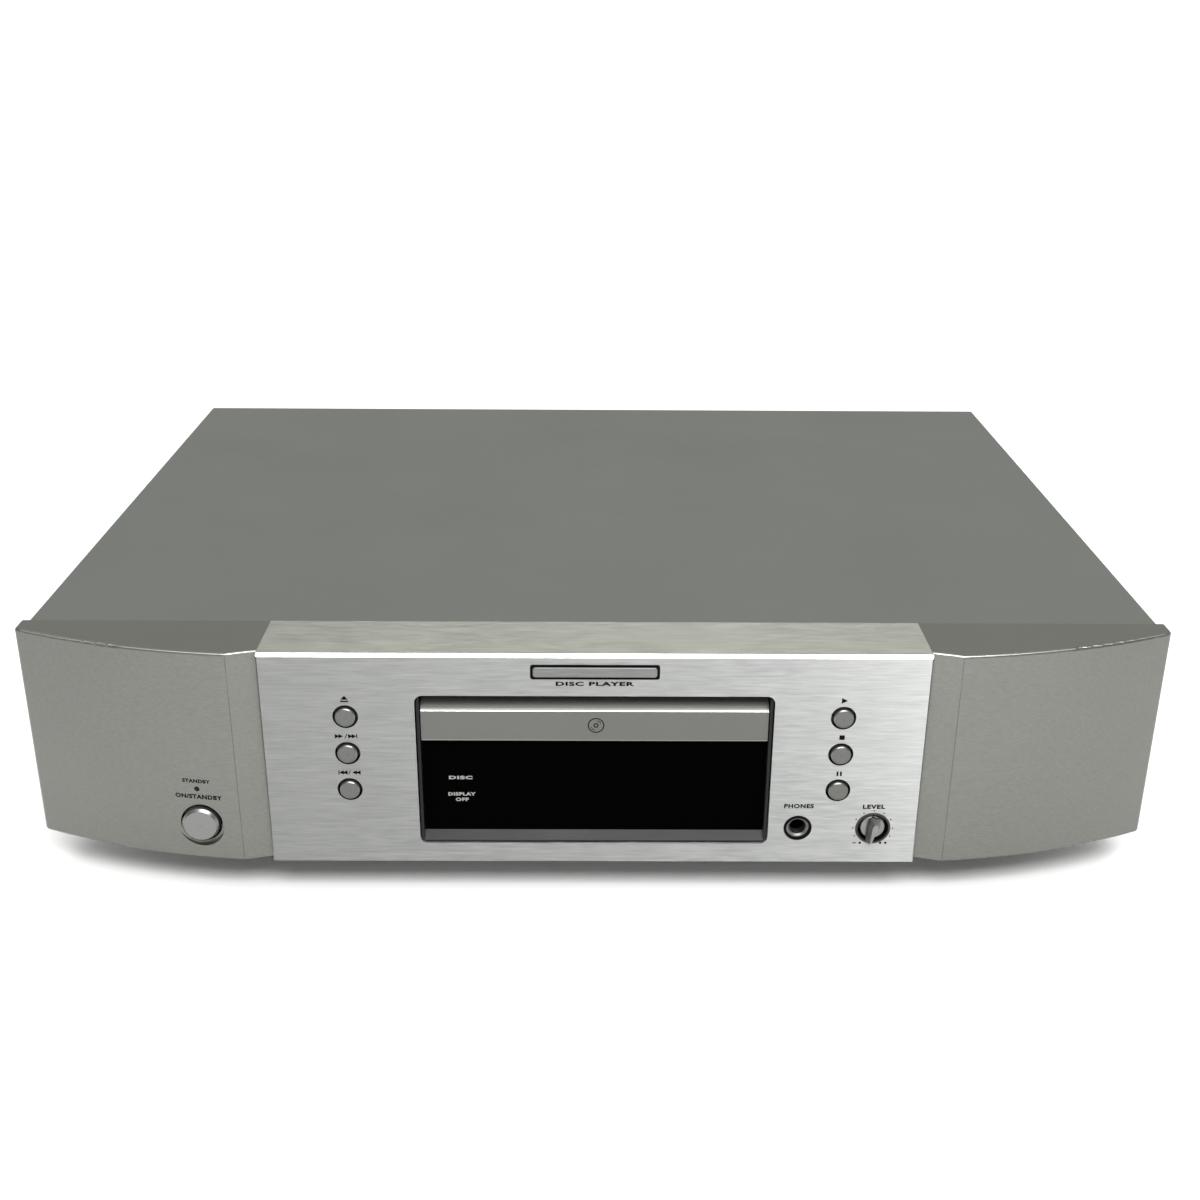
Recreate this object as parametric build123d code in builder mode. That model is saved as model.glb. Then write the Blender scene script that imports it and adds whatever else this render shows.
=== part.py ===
from build123d import *
from math import atan2, cos, degrees, pi, radians, sin, sqrt, tan
import os

os.makedirs("parts", exist_ok=True)

# A full-width disc player. Millimetres, +Z up, the front faces -Y, origin on the floor
# under the middle of the case.

# ---- overall sizes ----
CASE_W = 440.0
COVER_W = 434.0
BASE_Z = 16.0            # underside of the case, above the floor
TOP_Z = 104.4            # top of the case
FACE_Y = -167.0          # front face of the centre panel
COVER_Y0 = -137.0        # front edge of the top cover
REAR_Y = 163.0           # rear edge of the top cover
SHEET = 1.0              # sheet steel
COVER_SHEET = 0.8

# ---- front panel ----
PANEL_W = 248.6
PANEL_T = 4.0
PANEL_LIP_T = 3.0
WINDOW_W = 134.0
WINDOW_Z0, WINDOW_Z1 = 24.1, 87.6
WINDOW_R = 3.0
CREASE_X = 135.5         # where the wing's ramp turns into its bow
WING_STEP = 3.2          # how far the wing starts behind the panel's face
WING_T = 2.5
WING_EDGE = 0.45         # bevel along the wing's top front edge
KEY_X = 92.8
KEY_Z = (78.8, 63.4, 47.9)
KEY_HOLE_R = 4.6
KEY_TRAVEL = 0.8
POWER_X, POWER_Z = -151.5, 30.9
POWER_SEAT_Y = FACE_Y + 3.4
POWER_HOLE_R = 8.0
LED_Z = 46.7
JACK_X, LOW_ROW_Z = 78.4, 31.2
JACK_BORE_R = 3.2
JACK_HOLE_R, KNOB_HOLE_R = 5.3, 5.9
KNOB_X = 107.4
KNOB_REST = 12.0         # degrees past straight down, at the low stop
BOARD_Y = -150.0         # front faces of the upright boards
BOARD_T = 1.6

# ---- disc drive ----
DISC_Y = -92.0
DISC_R = 60.0
TRAY_W = 128.0
TRAY_Z0, TRAY_FLOOR_Z, TRAY_Z1 = 74.0, 76.0, 78.5
TRAY_Y0, TRAY_Y1 = -156.5, 24.0
TRAY_SLOT_W = 42.0
DRIVE_FLOOR_Z = 55.5     # underside of the drive frame's floor
DRIVE_FLOOR_T = 2.0
DRIVE_W = 143.0
DRIVE_Y0, DRIVE_Y1 = -141.0, 30.0
DRIVE_TOP_Z = 86.0
WALL = 2.5
PIVOT_Y, PIVOT_Z = 12.0, 60.0
DECK_DROP = 3.43         # degrees
DECK_Z, DECK_T = 62.0, 2.0
DECK_Y0, DECK_Y1 = -117.0, 14.0
DECK_W = 72.0
PIN_X, PIN_Z, PIN_R = 31.0, 68.0, 1.5
CAM_STROKE = 18.0
DISC_PLANE_Z = 78.0      # where the raised turntable carries the disc
PICKUP_Y = -68.0

# ---- gears, all with 20 degree teeth ----
MODULE = 1.0
PINION_TEETH, WHEEL_TEETH, IDLER_TEETH = 16, 32, 12
RACK_X = -50.0
WHEEL_X, WHEEL_Y = RACK_X + MODULE * PINION_TEETH / 2, -124.0
IDLER_X = WHEEL_X + MODULE * (WHEEL_TEETH + IDLER_TEETH) / 2
IDLER_PULLEY_R, MOTOR_PULLEY_R = 12.0, 3.0
MOTOR_X, MOTOR_Y = 12.0, -131.0
BELT_Z = 60.6
SLED_MODULE, SLED_TEETH = 0.8, 15
SLED_RACK_X = 21.0
SLED_X = SLED_RACK_X + SLED_MODULE * SLED_TEETH / 2
SLED_Y = PICKUP_Y + 17.0
BACKLASH = 0.2
RUN = 0.05               # radial clearance of running fits


def save(part, name):
    """Label one finished piece and write it."""
    part.label = name
    export_step(part, f"parts/{name}.step")


def gear_outline(teeth, module, tooth_at):
    """A spur gear's outline, with a tooth centred at tooth_at degrees."""
    pitch_r = module * teeth / 2
    base_r = pitch_r * cos(radians(20))
    tip_r, root_r = pitch_r + 0.8 * module, pitch_r - 1.2 * module
    half_pitch = (pi * module / 2 - BACKLASH) / (2 * pitch_r)
    flank0 = tan(radians(20)) - radians(20)

    def flank_angle(r):
        """Half the tooth's angle at radius r, down to the base circle."""
        roll = sqrt(max((r / base_r) ** 2 - 1, 0))
        return half_pitch + flank0 - (roll - atan2(roll, 1))

    radii = [max(base_r, root_r), (base_r + pitch_r) / 2, pitch_r, (pitch_r + tip_r) / 2, tip_r]
    points = []
    for k in range(teeth):
        centre = radians(tooth_at) + 2 * pi * k / teeth
        sides = [(root_r, -flank_angle(radii[0]))] + [(r, -flank_angle(r)) for r in radii]
        for r, a in sides + [(r, -a) for r, a in reversed(sides)]:
            if not points or abs(points[-1][0] - r * cos(centre + a)) > 1e-6:
                points.append((r * cos(centre + a), r * sin(centre + a)))
    return points


def rack_outline(module, pitch_x, gap_y, y0, y1, back):
    """A rack along Y with teeth towards +X, a gap centred at gap_y."""
    pitch = pi * module
    tip, root = pitch_x + 0.8 * module, pitch_x - 1.2 * module
    half_tip = (pitch / 2 - BACKLASH) / 2 - 0.8 * module * tan(radians(20))
    half_root = (pitch / 2 - BACKLASH) / 2 + 1.2 * module * tan(radians(20))
    first = int((y0 - gap_y) / pitch) - 1
    points = [(pitch_x - back, y0), (root, y0)]
    for k in range(first, first + int((y1 - y0) / pitch) + 4):
        y = gap_y + (k + 0.5) * pitch
        if y0 + half_root < y < y1 - half_root:
            points += [(root, y - half_root), (tip, y - half_tip),
                       (tip, y + half_tip), (root, y + half_root)]
    return points + [(root, y1), (pitch_x - back, y1)]


def front_plane(x, z, y):
    """A sketch plane facing the front, at (x, y, z): its own x is X and its own y is Z."""
    return Plane(origin=(x, y, z), x_dir=(1, 0, 0), z_dir=(0, -1, 0))


def wing_y(x):
    """Where the wing's bowed face stands at distance x from the middle."""
    d = x - CREASE_X
    return FACE_Y + 0.08 * d + 0.002176 * d * d


# ================= case =================

FOOT_PLACES = [(-165, -108), (165, -108), (-165, 125), (165, 125)]
FOOT_SCREW_R = 2.0
BASE_W = COVER_W - 2 * COVER_SHEET
BASE_Y0, BASE_Y1 = COVER_Y0, REAR_Y - 1.8
POST_PLACES = [(-66, -108), (66, -108), (-66, 16), (66, 16)]
BOARD_STANDS = [(96, -90), (200, -90), (96, 140), (200, 140),
                (-200, 40), (-110, 40), (-200, 140), (-110, 140)]

with BuildPart() as chassis_base:
    with BuildSketch(Plane.XY.offset(BASE_Z)):
        with Locations((0, (BASE_Y0 + BASE_Y1) / 2)):
            Rectangle(BASE_W, BASE_Y1 - BASE_Y0)
    extrude(amount=SHEET)
    with BuildSketch(Plane.XY.offset(BASE_Z + SHEET)):
        for side in (-1, 1):
            with Locations((side * (BASE_W - SHEET) / 2, (BASE_Y0 + BASE_Y1) / 2)):
                Rectangle(SHEET, BASE_Y1 - BASE_Y0)
    extrude(amount=11)
    with BuildSketch(Plane.XY.offset(BASE_Z)):
        with Locations(*FOOT_PLACES):
            Circle(FOOT_SCREW_R)
        with Locations(*POST_PLACES, *BOARD_STANDS):
            Circle(1.5)
    extrude(amount=SHEET, mode=Mode.SUBTRACT)
    with BuildSketch(Plane.XY.offset(BASE_Z)):
        with Locations((-150, 60), (145, 20)):
            with GridLocations(0, 9, 1, 8):
                SlotOverall(70, 3)
    extrude(amount=SHEET, mode=Mode.SUBTRACT)
    with Locations(*[Plane((side * BASE_W / 2, y, BASE_Z + 7), z_dir=(side, 0, 0))
                     for side in (-1, 1) for y in (-90, 110)]):
        Hole(1.5, depth=2)
save(chassis_base.part, "chassis_base")

FRONT_PLATE_Y = COVER_Y0
with BuildPart() as front_plate:
    with BuildSketch(front_plane(0, 0, FRONT_PLATE_Y + SHEET)):
        with Locations((0, (BASE_Z + SHEET + TOP_Z - COVER_SHEET) / 2)):
            Rectangle(BASE_W - 2 * SHEET, TOP_Z - COVER_SHEET - BASE_Z - SHEET)
        with Locations((0, 62.5)):
            RectangleRounded(156, 69, 4, mode=Mode.SUBTRACT)
        with Locations((JACK_X + 14, LOW_ROW_Z), (POWER_X, POWER_Z)):
            RectangleRounded(40, 18, 3, mode=Mode.SUBTRACT)
        with Locations((-186, 60), (186, 60)):
            Circle(9, mode=Mode.SUBTRACT)
    extrude(amount=SHEET)
save(front_plate.part, "front_plate")

COVER_SCREWS = [(side, y) for side in (-1, 1) for y in (-90, 110)]
SIDE_SCREW_PLANES = [Plane((side * COVER_W / 2, y, BASE_Z + 7), z_dir=(side, 0, 0))
                     for side, y in COVER_SCREWS]
REAR_SCREWS_X = (-190, 0, 190)
REAR_SCREW_Z = 98.0
with BuildPart() as top_cover:
    with BuildSketch(Plane.XZ.offset(-COVER_Y0)):
        with BuildLine():
            FilletPolyline((-COVER_W / 2, BASE_Z + 0.4), (-COVER_W / 2, TOP_Z), (COVER_W / 2, TOP_Z),
                           (COVER_W / 2, BASE_Z + 0.4), radius=1.2)
            Polyline((COVER_W / 2, BASE_Z + 0.4), (COVER_W / 2 - COVER_SHEET, BASE_Z + 0.4))
            FilletPolyline((COVER_W / 2 - COVER_SHEET, BASE_Z + 0.4),
                           (COVER_W / 2 - COVER_SHEET, TOP_Z - COVER_SHEET),
                           (COVER_SHEET - COVER_W / 2, TOP_Z - COVER_SHEET),
                           (COVER_SHEET - COVER_W / 2, BASE_Z + 0.4), radius=0.4)
            Polyline((COVER_SHEET - COVER_W / 2, BASE_Z + 0.4), (-COVER_W / 2, BASE_Z + 0.4))
        make_face()
    extrude(amount=COVER_Y0 - REAR_Y)
    with BuildSketch(Plane.XZ.offset(-(REAR_Y - COVER_SHEET))):
        with Locations((0, TOP_Z - 6)):
            Rectangle(COVER_W - 12, 11)
        with Locations(*[(x, REAR_SCREW_Z) for x in REAR_SCREWS_X]):
            Circle(1.7, mode=Mode.SUBTRACT)
    extrude(amount=-COVER_SHEET)
    with Locations(*SIDE_SCREW_PLANES):
        Hole(1.7, depth=2)
save(top_cover.part, "top_cover")

with BuildPart() as cover_screw:
    with BuildSketch(Plane.XZ):
        with BuildLine():
            Polyline((0, -5), (1.45, -5), (1.45, 0), (3.0, 0), (3.0, 0.5))
            Spline((3.0, 0.5), (2.2, 1.3), (0, 1.7), tangents=((-0.3, 1), (-1, 0)))
            Line((0, 1.7), (0, -5))
        make_face()
    revolve(axis=Axis.Z)
    with BuildSketch(Plane.XY.offset(1.8)):
        Rectangle(0.7, 3.4)
        Rectangle(3.4, 0.7)
    extrude(amount=-1.2, mode=Mode.SUBTRACT)
REAR_SCREW_PLANES = [Plane((x, REAR_Y, REAR_SCREW_Z), z_dir=(0, 1, 0)) for x in REAR_SCREWS_X]
with BuildPart() as cover_screws:
    with Locations(*SIDE_SCREW_PLANES, *REAR_SCREW_PLANES):
        add(cover_screw.part)
save(cover_screws.part, "cover_screws")

# ---- rear panel and what it carries ----
REAR_SHEET_Y = REAR_Y - COVER_SHEET - SHEET
AUDIO_X = (172.0, 190.0)
REMOTE_X = (128.0, 146.0)
COAX_X = 96.0
SOCKET_Z = 56.0
PHONO_PLACES = [(x, SOCKET_Z) for x in (*AUDIO_X, *REMOTE_X, COAX_X)]
OPTICAL_X, OPTICAL_Z = 70.0, 56.0
INLET_X, INLET_Z = -165.0, 52.0
INLET_W, INLET_H = 27.0, 19.5
with BuildPart() as rear_panel:
    with BuildSketch(Plane.XZ.offset(-REAR_SHEET_Y)):
        with Locations((0, (BASE_Z + SHEET + TOP_Z - COVER_SHEET) / 2)):
            Rectangle(BASE_W - 2 * SHEET, TOP_Z - COVER_SHEET - BASE_Z - SHEET)
        with Locations(*PHONO_PLACES):
            Circle(5.2, mode=Mode.SUBTRACT)
        with Locations((OPTICAL_X, OPTICAL_Z)):
            Rectangle(11.2, 11.2, mode=Mode.SUBTRACT)
        with Locations((INLET_X, INLET_Z)):
            Rectangle(INLET_W, INLET_H, mode=Mode.SUBTRACT)
        with Locations(*[(x, REAR_SCREW_Z) for x in REAR_SCREWS_X]):
            Circle(1.5, mode=Mode.SUBTRACT)
        with Locations((-60, 60)):
            with GridLocations(7, 0, 12, 1):
                SlotOverall(26, 3, rotation=90, mode=Mode.SUBTRACT)
    extrude(amount=-SHEET)
save(rear_panel.part, "rear_panel")

with BuildPart() as phono_jack:
    with BuildSketch(Plane.XZ):
        with BuildLine():
            Polyline((1.7, -8), (4.15, -8), (4.15, -0.5), (5.0, 0), (5.0, 2.2), (1.7, 2.2), (1.7, -8))
        make_face()
    revolve(axis=Axis.Z)
with BuildPart() as phono_shells:
    with Locations(*[Plane((x, REAR_SHEET_Y + SHEET + 0.3, z), z_dir=(0, -1, 0))
                     for x, z in PHONO_PLACES]):
        add(phono_jack.part)
save(phono_shells.part, "phono_shells")

with BuildPart() as phono_insulators:
    with BuildSketch(Plane.XZ.offset(-(REAR_SHEET_Y + SHEET))):
        with Locations(*PHONO_PLACES):
            Circle(7.0)
            Circle(5.1, mode=Mode.SUBTRACT)
    extrude(amount=-1.1)
    with BuildSketch(Plane.XZ.offset(-REAR_SHEET_Y)):
        with Locations(*PHONO_PLACES):
            Rectangle(12, 14)
    extrude(amount=9)
    with BuildSketch(Plane.XZ.offset(-REAR_SHEET_Y)):
        with Locations(*PHONO_PLACES):
            Circle(5.15)
    extrude(amount=6, mode=Mode.SUBTRACT)
save(phono_insulators.part, "phono_insulators")

with BuildPart() as optical_socket:
    with BuildSketch(Plane.XZ.offset(-(REAR_SHEET_Y + SHEET + 1.4))):
        with Locations((OPTICAL_X, OPTICAL_Z)):
            Rectangle(11, 11)
    extrude(amount=15)
    with BuildSketch(Plane.XZ.offset(-(REAR_SHEET_Y + SHEET))):
        with Locations((OPTICAL_X, OPTICAL_Z)):
            Rectangle(13.5, 13.5)
    extrude(amount=-1.4)
    with BuildSketch(Plane.XZ.offset(-(REAR_SHEET_Y + SHEET + 1.4))):
        with Locations((OPTICAL_X, OPTICAL_Z)):
            Rectangle(8.4, 8.4)
            with GridLocations(8.4, 8.4, 2, 2):
                Rectangle(1.6, 1.6, rotation=45, mode=Mode.SUBTRACT)
    extrude(amount=10, mode=Mode.SUBTRACT)
save(optical_socket.part, "optical_socket")

INLET_DEPTH = 16.0
with BuildPart() as mains_inlet:
    with BuildSketch(Plane.XZ.offset(-(REAR_SHEET_Y + SHEET + 1.6))):
        with Locations((INLET_X, INLET_Z)):
            RectangleRounded(INLET_W + 4, INLET_H + 4, 2.5)
    extrude(amount=1.6)
    with BuildSketch(Plane.XZ.offset(-(REAR_SHEET_Y + SHEET))):
        with Locations((INLET_X, INLET_Z)):
            Rectangle(INLET_W - 0.2, INLET_H - 0.2)
    extrude(amount=INLET_DEPTH + 1)
    with BuildSketch(Plane.XZ.offset(-(REAR_SHEET_Y + SHEET + 1.6))):
        with BuildLine():
            Polyline((INLET_X - 12, INLET_Z - 8), (INLET_X + 12, INLET_Z - 8), (INLET_X + 12, INLET_Z + 3),
                     (INLET_X + 7, INLET_Z + 8), (INLET_X - 7, INLET_Z + 8), (INLET_X - 12, INLET_Z + 3),
                     close=True)
        make_face()
    extrude(amount=INLET_DEPTH, mode=Mode.SUBTRACT)
save(mains_inlet.part, "mains_inlet")

with BuildPart() as inlet_pins:
    with BuildSketch(Plane.XZ.offset(-(REAR_SHEET_Y + SHEET + 1.6 - INLET_DEPTH))):
        with Locations((INLET_X - 7, INLET_Z - 1), (INLET_X + 7, INLET_Z - 1)):
            Rectangle(2, 4)
    extrude(amount=-13)
save(inlet_pins.part, "inlet_pins")

# ---- feet ----
FOOT_PAD_Z = 1.5
with BuildPart() as foot:
    with BuildSketch(Plane.XZ):
        with BuildLine():
            Polyline((2.1, 4), (16, 4), (16, FOOT_PAD_Z - 0.7), (21.5, FOOT_PAD_Z - 0.7))
            RadiusArc((21.5, FOOT_PAD_Z - 0.7), (22.5, FOOT_PAD_Z + 0.3), -1)
            Polyline((22.5, FOOT_PAD_Z + 0.3), (24, BASE_Z), (2.1, BASE_Z), (2.1, 4))
        make_face()
    revolve(axis=Axis.Z)
with BuildPart() as feet:
    with Locations(*FOOT_PLACES):
        add(foot.part)
save(feet.part, "feet")

with BuildPart() as foot_pads:
    with BuildSketch():
        with Locations(*FOOT_PLACES):
            Circle(15.5)
            Circle(6, mode=Mode.SUBTRACT)
    extrude(amount=4)
save(foot_pads.part, "foot_pads")

with BuildPart() as foot_screw:
    with BuildSketch(Plane.XY.offset(1.8)):
        Circle(4)
    extrude(amount=2.2)
    with BuildSketch(Plane.XY.offset(4)):
        Circle(1.9)
    extrude(amount=16)
    with BuildSketch(Plane.XY.offset(1.8)):
        Rectangle(4.4, 0.9)
        Rectangle(0.9, 4.4)
    extrude(amount=1.2, mode=Mode.SUBTRACT)
with BuildPart() as foot_screws:
    with Locations(*FOOT_PLACES):
        add(foot_screw.part)
save(foot_screws.part, "foot_screws")

# ================= front =================

# The centre panel is one extrusion: face plate, top lip back to the cover, and side lips.
with BuildPart() as centre_panel:
    with BuildSketch(Plane.YZ.offset(-PANEL_W / 2)):
        with BuildLine():
            Polyline((FACE_Y, BASE_Z), (FACE_Y, TOP_Z - 1.2), (FACE_Y + 1.2, TOP_Z), (COVER_Y0, TOP_Z),
                     (COVER_Y0, TOP_Z - PANEL_LIP_T), (FACE_Y + PANEL_T, TOP_Z - PANEL_LIP_T),
                     (FACE_Y + PANEL_T, BASE_Z + 2), (COVER_Y0, BASE_Z + 2), (COVER_Y0, BASE_Z),
                     close=True)
        make_face()
    extrude(amount=PANEL_W)
    face_edges = centre_panel.edges().filter_by_position(Axis.Y, FACE_Y - 0.1, FACE_Y + 0.1)
    chamfer(face_edges.filter_by(Axis.Z), 0.4)
    with BuildSketch(front_plane(0, 0, FACE_Y)):
        with Locations((0, (WINDOW_Z0 + WINDOW_Z1) / 2)):
            RectangleRounded(WINDOW_W, WINDOW_Z1 - WINDOW_Z0, WINDOW_R)
        with Locations(*[(side * KEY_X, z) for side in (-1, 1) for z in KEY_Z]):
            Circle(KEY_HOLE_R)
        with Locations((JACK_X, LOW_ROW_Z)):
            Circle(JACK_HOLE_R)
        with Locations((KNOB_X, LOW_ROW_Z)):
            Circle(KNOB_HOLE_R)
    extrude(amount=-PANEL_T, mode=Mode.SUBTRACT)
    face_edges = centre_panel.edges().filter_by_position(Axis.Y, FACE_Y - 0.1, FACE_Y + 0.1)
    round_holes = face_edges.filter_by(GeomType.CIRCLE).filter_by(lambda edge: edge.radius > WINDOW_R + 1)
    chamfer(round_holes, 0.15)
save(centre_panel.part, "centre_panel")


def wing_outline():
    """The right wing's plan outline, drawn in the current BuildLine."""
    start = (PANEL_W / 2, FACE_Y + WING_STEP)
    crease = (CREASE_X, FACE_Y)
    middle_x, end_x = 178.0, CASE_W / 2 - 1.6
    corner = (CASE_W / 2, wing_y(end_x) + 2.2)
    ThreePointArc(start, (129.5, FACE_Y + 1.95), crease)
    ThreePointArc(crease, (middle_x, wing_y(middle_x)), (end_x, wing_y(end_x)))
    TangentArc((end_x, wing_y(end_x)), corner, tangent=(1, 0.43))
    Polyline(corner, (CASE_W / 2, COVER_Y0), (PANEL_W / 2, COVER_Y0), start)


def right_wing_part():
    """The right wing: a bowed moulding, open at the back, with rounded end corners."""
    with BuildPart() as wing:
        with BuildSketch(Plane.XY.offset(BASE_Z)):
            with BuildLine():
                wing_outline()
            make_face()
        extrude(amount=TOP_Z - BASE_Z)
        ends = wing.edges().filter_by_position(Axis.X, CASE_W / 2 - 0.1, CASE_W / 2 + 0.1)
        fillet(ends.filter_by(Axis.Y), 1.2)
        front_edges = wing.edges().filter_by_position(Axis.Z, TOP_Z - 0.01, TOP_Z + 0.01)
        chamfer(front_edges.filter_by(lambda edge: PANEL_W / 2 + 0.1 < edge.center().X < CASE_W / 2 - 5
                                      and edge.center().Y < COVER_Y0 - 1), WING_EDGE)
        with BuildSketch(Plane.XY.offset(BASE_Z + WING_T)):
            with BuildLine():
                inner_x, outer_x = PANEL_W / 2 + WING_T, CASE_W / 2 - WING_T - 1.4
                Polyline((outer_x, COVER_Y0), (inner_x, COVER_Y0), (inner_x, FACE_Y + WING_STEP + WING_T))
                ThreePointArc((inner_x, FACE_Y + WING_STEP + WING_T), (178, wing_y(178) + WING_T + 0.6),
                              (outer_x, wing_y(outer_x) + WING_T + 1.4))
                Line((outer_x, wing_y(outer_x) + WING_T + 1.4), (outer_x, COVER_Y0))
            make_face()
        extrude(amount=TOP_Z - BASE_Z - 2 * WING_T, mode=Mode.SUBTRACT)
    return wing.part


with BuildPart() as right_wing:
    add(right_wing_part())
save(right_wing.part, "right_wing")

with BuildPart() as left_wing:
    mirror(right_wing.part, about=Plane.YZ)
    with BuildSketch(front_plane(POWER_X, POWER_Z, POWER_SEAT_Y)):
        Circle(9.3)
    extrude(amount=10, mode=Mode.SUBTRACT)
    with BuildSketch(front_plane(POWER_X, POWER_Z, FACE_Y)):
        Circle(POWER_HOLE_R)
        with Locations((0, LED_Z - POWER_Z)):
            Circle(1.05)
    extrude(amount=-9, mode=Mode.SUBTRACT)
save(left_wing.part, "left_wing")

# The bezel stands in the window with a dark gap all round, and a flange behind the panel holds it.
BEZEL_HALF_W, BEZEL_T = 66.4, 1.0
BEZEL_GAP = 0.6
BEZEL_FRONT_Y = FACE_Y + 0.5
SILL_Z = 28.2
WINDOW_MID_Z = (WINDOW_Z0 + WINDOW_Z1) / 2
with BuildPart() as window_bezel:
    with BuildSketch(front_plane(0, WINDOW_MID_Z, BEZEL_FRONT_Y)):
        RectangleRounded(2 * BEZEL_HALF_W, WINDOW_Z1 - WINDOW_Z0 - 2 * BEZEL_GAP, WINDOW_R - BEZEL_GAP)
    extrude(amount=-6.5)
    with BuildSketch(front_plane(0, WINDOW_MID_Z, FACE_Y + PANEL_T)):
        Rectangle(WINDOW_W + 4, WINDOW_Z1 - WINDOW_Z0 + 3.6)
    extrude(amount=-3.0)
    with BuildSketch(front_plane(0, WINDOW_MID_Z + 20, BEZEL_FRONT_Y)):
        Rectangle(2 * (BEZEL_HALF_W - BEZEL_T), 2 * (20 + WINDOW_MID_Z - SILL_Z))
    extrude(amount=-6.5, mode=Mode.SUBTRACT)
    with BuildSketch(Plane.YZ.offset(BEZEL_T - BEZEL_HALF_W)):
        with BuildLine():
            Polyline((BEZEL_FRONT_Y - 0.1, WINDOW_Z0 + 1), (FACE_Y + 3.4, SILL_Z),
                     (BEZEL_FRONT_Y - 0.1, SILL_Z), close=True)
        make_face()
        with Locations((FACE_Y + 5.5, SILL_Z)):
            Rectangle(4, 1.6)
    extrude(amount=2 * (BEZEL_HALF_W - BEZEL_T), mode=Mode.SUBTRACT)
save(window_bezel.part, "window_bezel")

WINDOW_FACE_Y = FACE_Y + 3.6
with BuildPart() as display_window:
    with BuildSketch(front_plane(0, (27.6 + 67.4) / 2, WINDOW_FACE_Y)):
        Rectangle(2 * (BEZEL_HALF_W - BEZEL_T), 67.4 - 27.6)
    extrude(amount=-2.0)
save(display_window.part, "display_window")

DISPLAY_Z = 47.0
with BuildPart() as display_board:
    with BuildSketch(front_plane(0, DISPLAY_Z, BOARD_Y)):
        Rectangle(124, 38)
        with GridLocations(116, 30, 2, 2):
            Circle(1.6, mode=Mode.SUBTRACT)
    extrude(amount=-BOARD_T)
save(display_board.part, "display_board")

with BuildPart() as display_tube:
    with BuildSketch(front_plane(0, DISPLAY_Z, BOARD_Y - 8.5)):
        Rectangle(96, 24)
    extrude(amount=-7.5)
    fillet(display_tube.edges().filter_by(Axis.Y), 1.5)
    with BuildSketch(front_plane(0, DISPLAY_Z, BOARD_Y)):
        with GridLocations(4, 20, 22, 2):
            Circle(0.35)
    extrude(amount=1.2)
save(display_tube.part, "display_tube")

with BuildPart() as left_key_board:
    with BuildSketch(front_plane(-KEY_X, KEY_Z[1], BOARD_Y)):
        Rectangle(24, 48)
        with GridLocations(18, 40, 2, 2):
            Circle(1.5, mode=Mode.SUBTRACT)
    extrude(amount=-BOARD_T)
save(left_key_board.part, "left_key_board")

# The right board also carries the headphone jack and the level control.
with BuildPart() as right_key_board:
    with BuildSketch(front_plane(KEY_X, 54, BOARD_Y)):
        Rectangle(50, 66)
        with GridLocations(44, 58, 2, 2):
            Circle(1.5, mode=Mode.SUBTRACT)
    extrude(amount=-BOARD_T)
save(right_key_board.part, "right_key_board")

with BuildPart() as power_key_board:
    with BuildSketch(front_plane(POWER_X, POWER_Z + 6, BOARD_Y)):
        Rectangle(32, 32)
        with GridLocations(26, 26, 2, 2):
            Circle(1.4, mode=Mode.SUBTRACT)
    extrude(amount=-BOARD_T)
save(power_key_board.part, "power_key_board")

KEY_PLACES = [(side * KEY_X, z) for side in (-1, 1) for z in KEY_Z]
SWITCH_TOP_Y = BOARD_Y - 4.3
with BuildPart() as key_switches:
    with BuildSketch(front_plane(0, 0, BOARD_Y)):
        with Locations(*KEY_PLACES, (POWER_X, POWER_Z)):
            RectangleRounded(6, 6, 0.6)
    extrude(amount=3.5)
    with BuildSketch(front_plane(0, 0, BOARD_Y - 3.5)):
        with Locations(*KEY_PLACES, (POWER_X, POWER_Z)):
            Circle(1.7)
    extrude(amount=0.8)
save(key_switches.part, "key_switches")

with BuildPart() as standby_light:
    with BuildSketch(front_plane(POWER_X, LED_Z, wing_y(-POWER_X) + 0.3)):
        Circle(1.0)
    extrude(amount=-(BOARD_Y - wing_y(-POWER_X) - 0.3))
save(standby_light.part, "standby_light")

# ---- buttons ----
CAP_PROUD = 1.2
KEY_STEM_END = SWITCH_TOP_Y - KEY_TRAVEL - 0.3


def key_cap(cap_r, rim, face_y, wall_back_y):
    """A round cap with a bevelled rim, a flange behind the panel and a stem to the switch."""
    flange_y0, flange_y1 = wall_back_y + 0.5, wall_back_y + 1.7
    stem_r = min(2.4, cap_r / 2)
    with BuildPart() as cap:
        with BuildSketch(Plane.XZ):
            with BuildLine():
                Polyline((0, -face_y - 0.15), (cap_r - rim - 0.3, -face_y - 0.1), (cap_r - rim, -face_y),
                         (cap_r, -face_y - rim), (cap_r + 0.1, -flange_y0), (cap_r + 1.6, -flange_y0),
                         (cap_r + 1.6, -flange_y1), (stem_r, -flange_y1), (stem_r, -KEY_STEM_END),
                         (0, -KEY_STEM_END), (0, -face_y - 0.15))
            make_face()
        revolve(axis=Axis.Z)
    return cap.part


KEY_NAMES = {"open_button": (-KEY_X, KEY_Z[0]), "next_button": (-KEY_X, KEY_Z[1]),
             "previous_button": (-KEY_X, KEY_Z[2]), "play_button": (KEY_X, KEY_Z[0]),
             "stop_button": (KEY_X, KEY_Z[1]), "pause_button": (KEY_X, KEY_Z[2])}
function_cap = key_cap(3.75, 0.35, FACE_Y - CAP_PROUD, FACE_Y + PANEL_T)
for name, (key_x, key_z) in KEY_NAMES.items():
    with BuildPart() as button:
        with Locations(Plane((key_x, 0, key_z), x_dir=(1, 0, 0), z_dir=(0, -1, 0))):
            add(function_cap)
    save(button.part, name)

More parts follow.
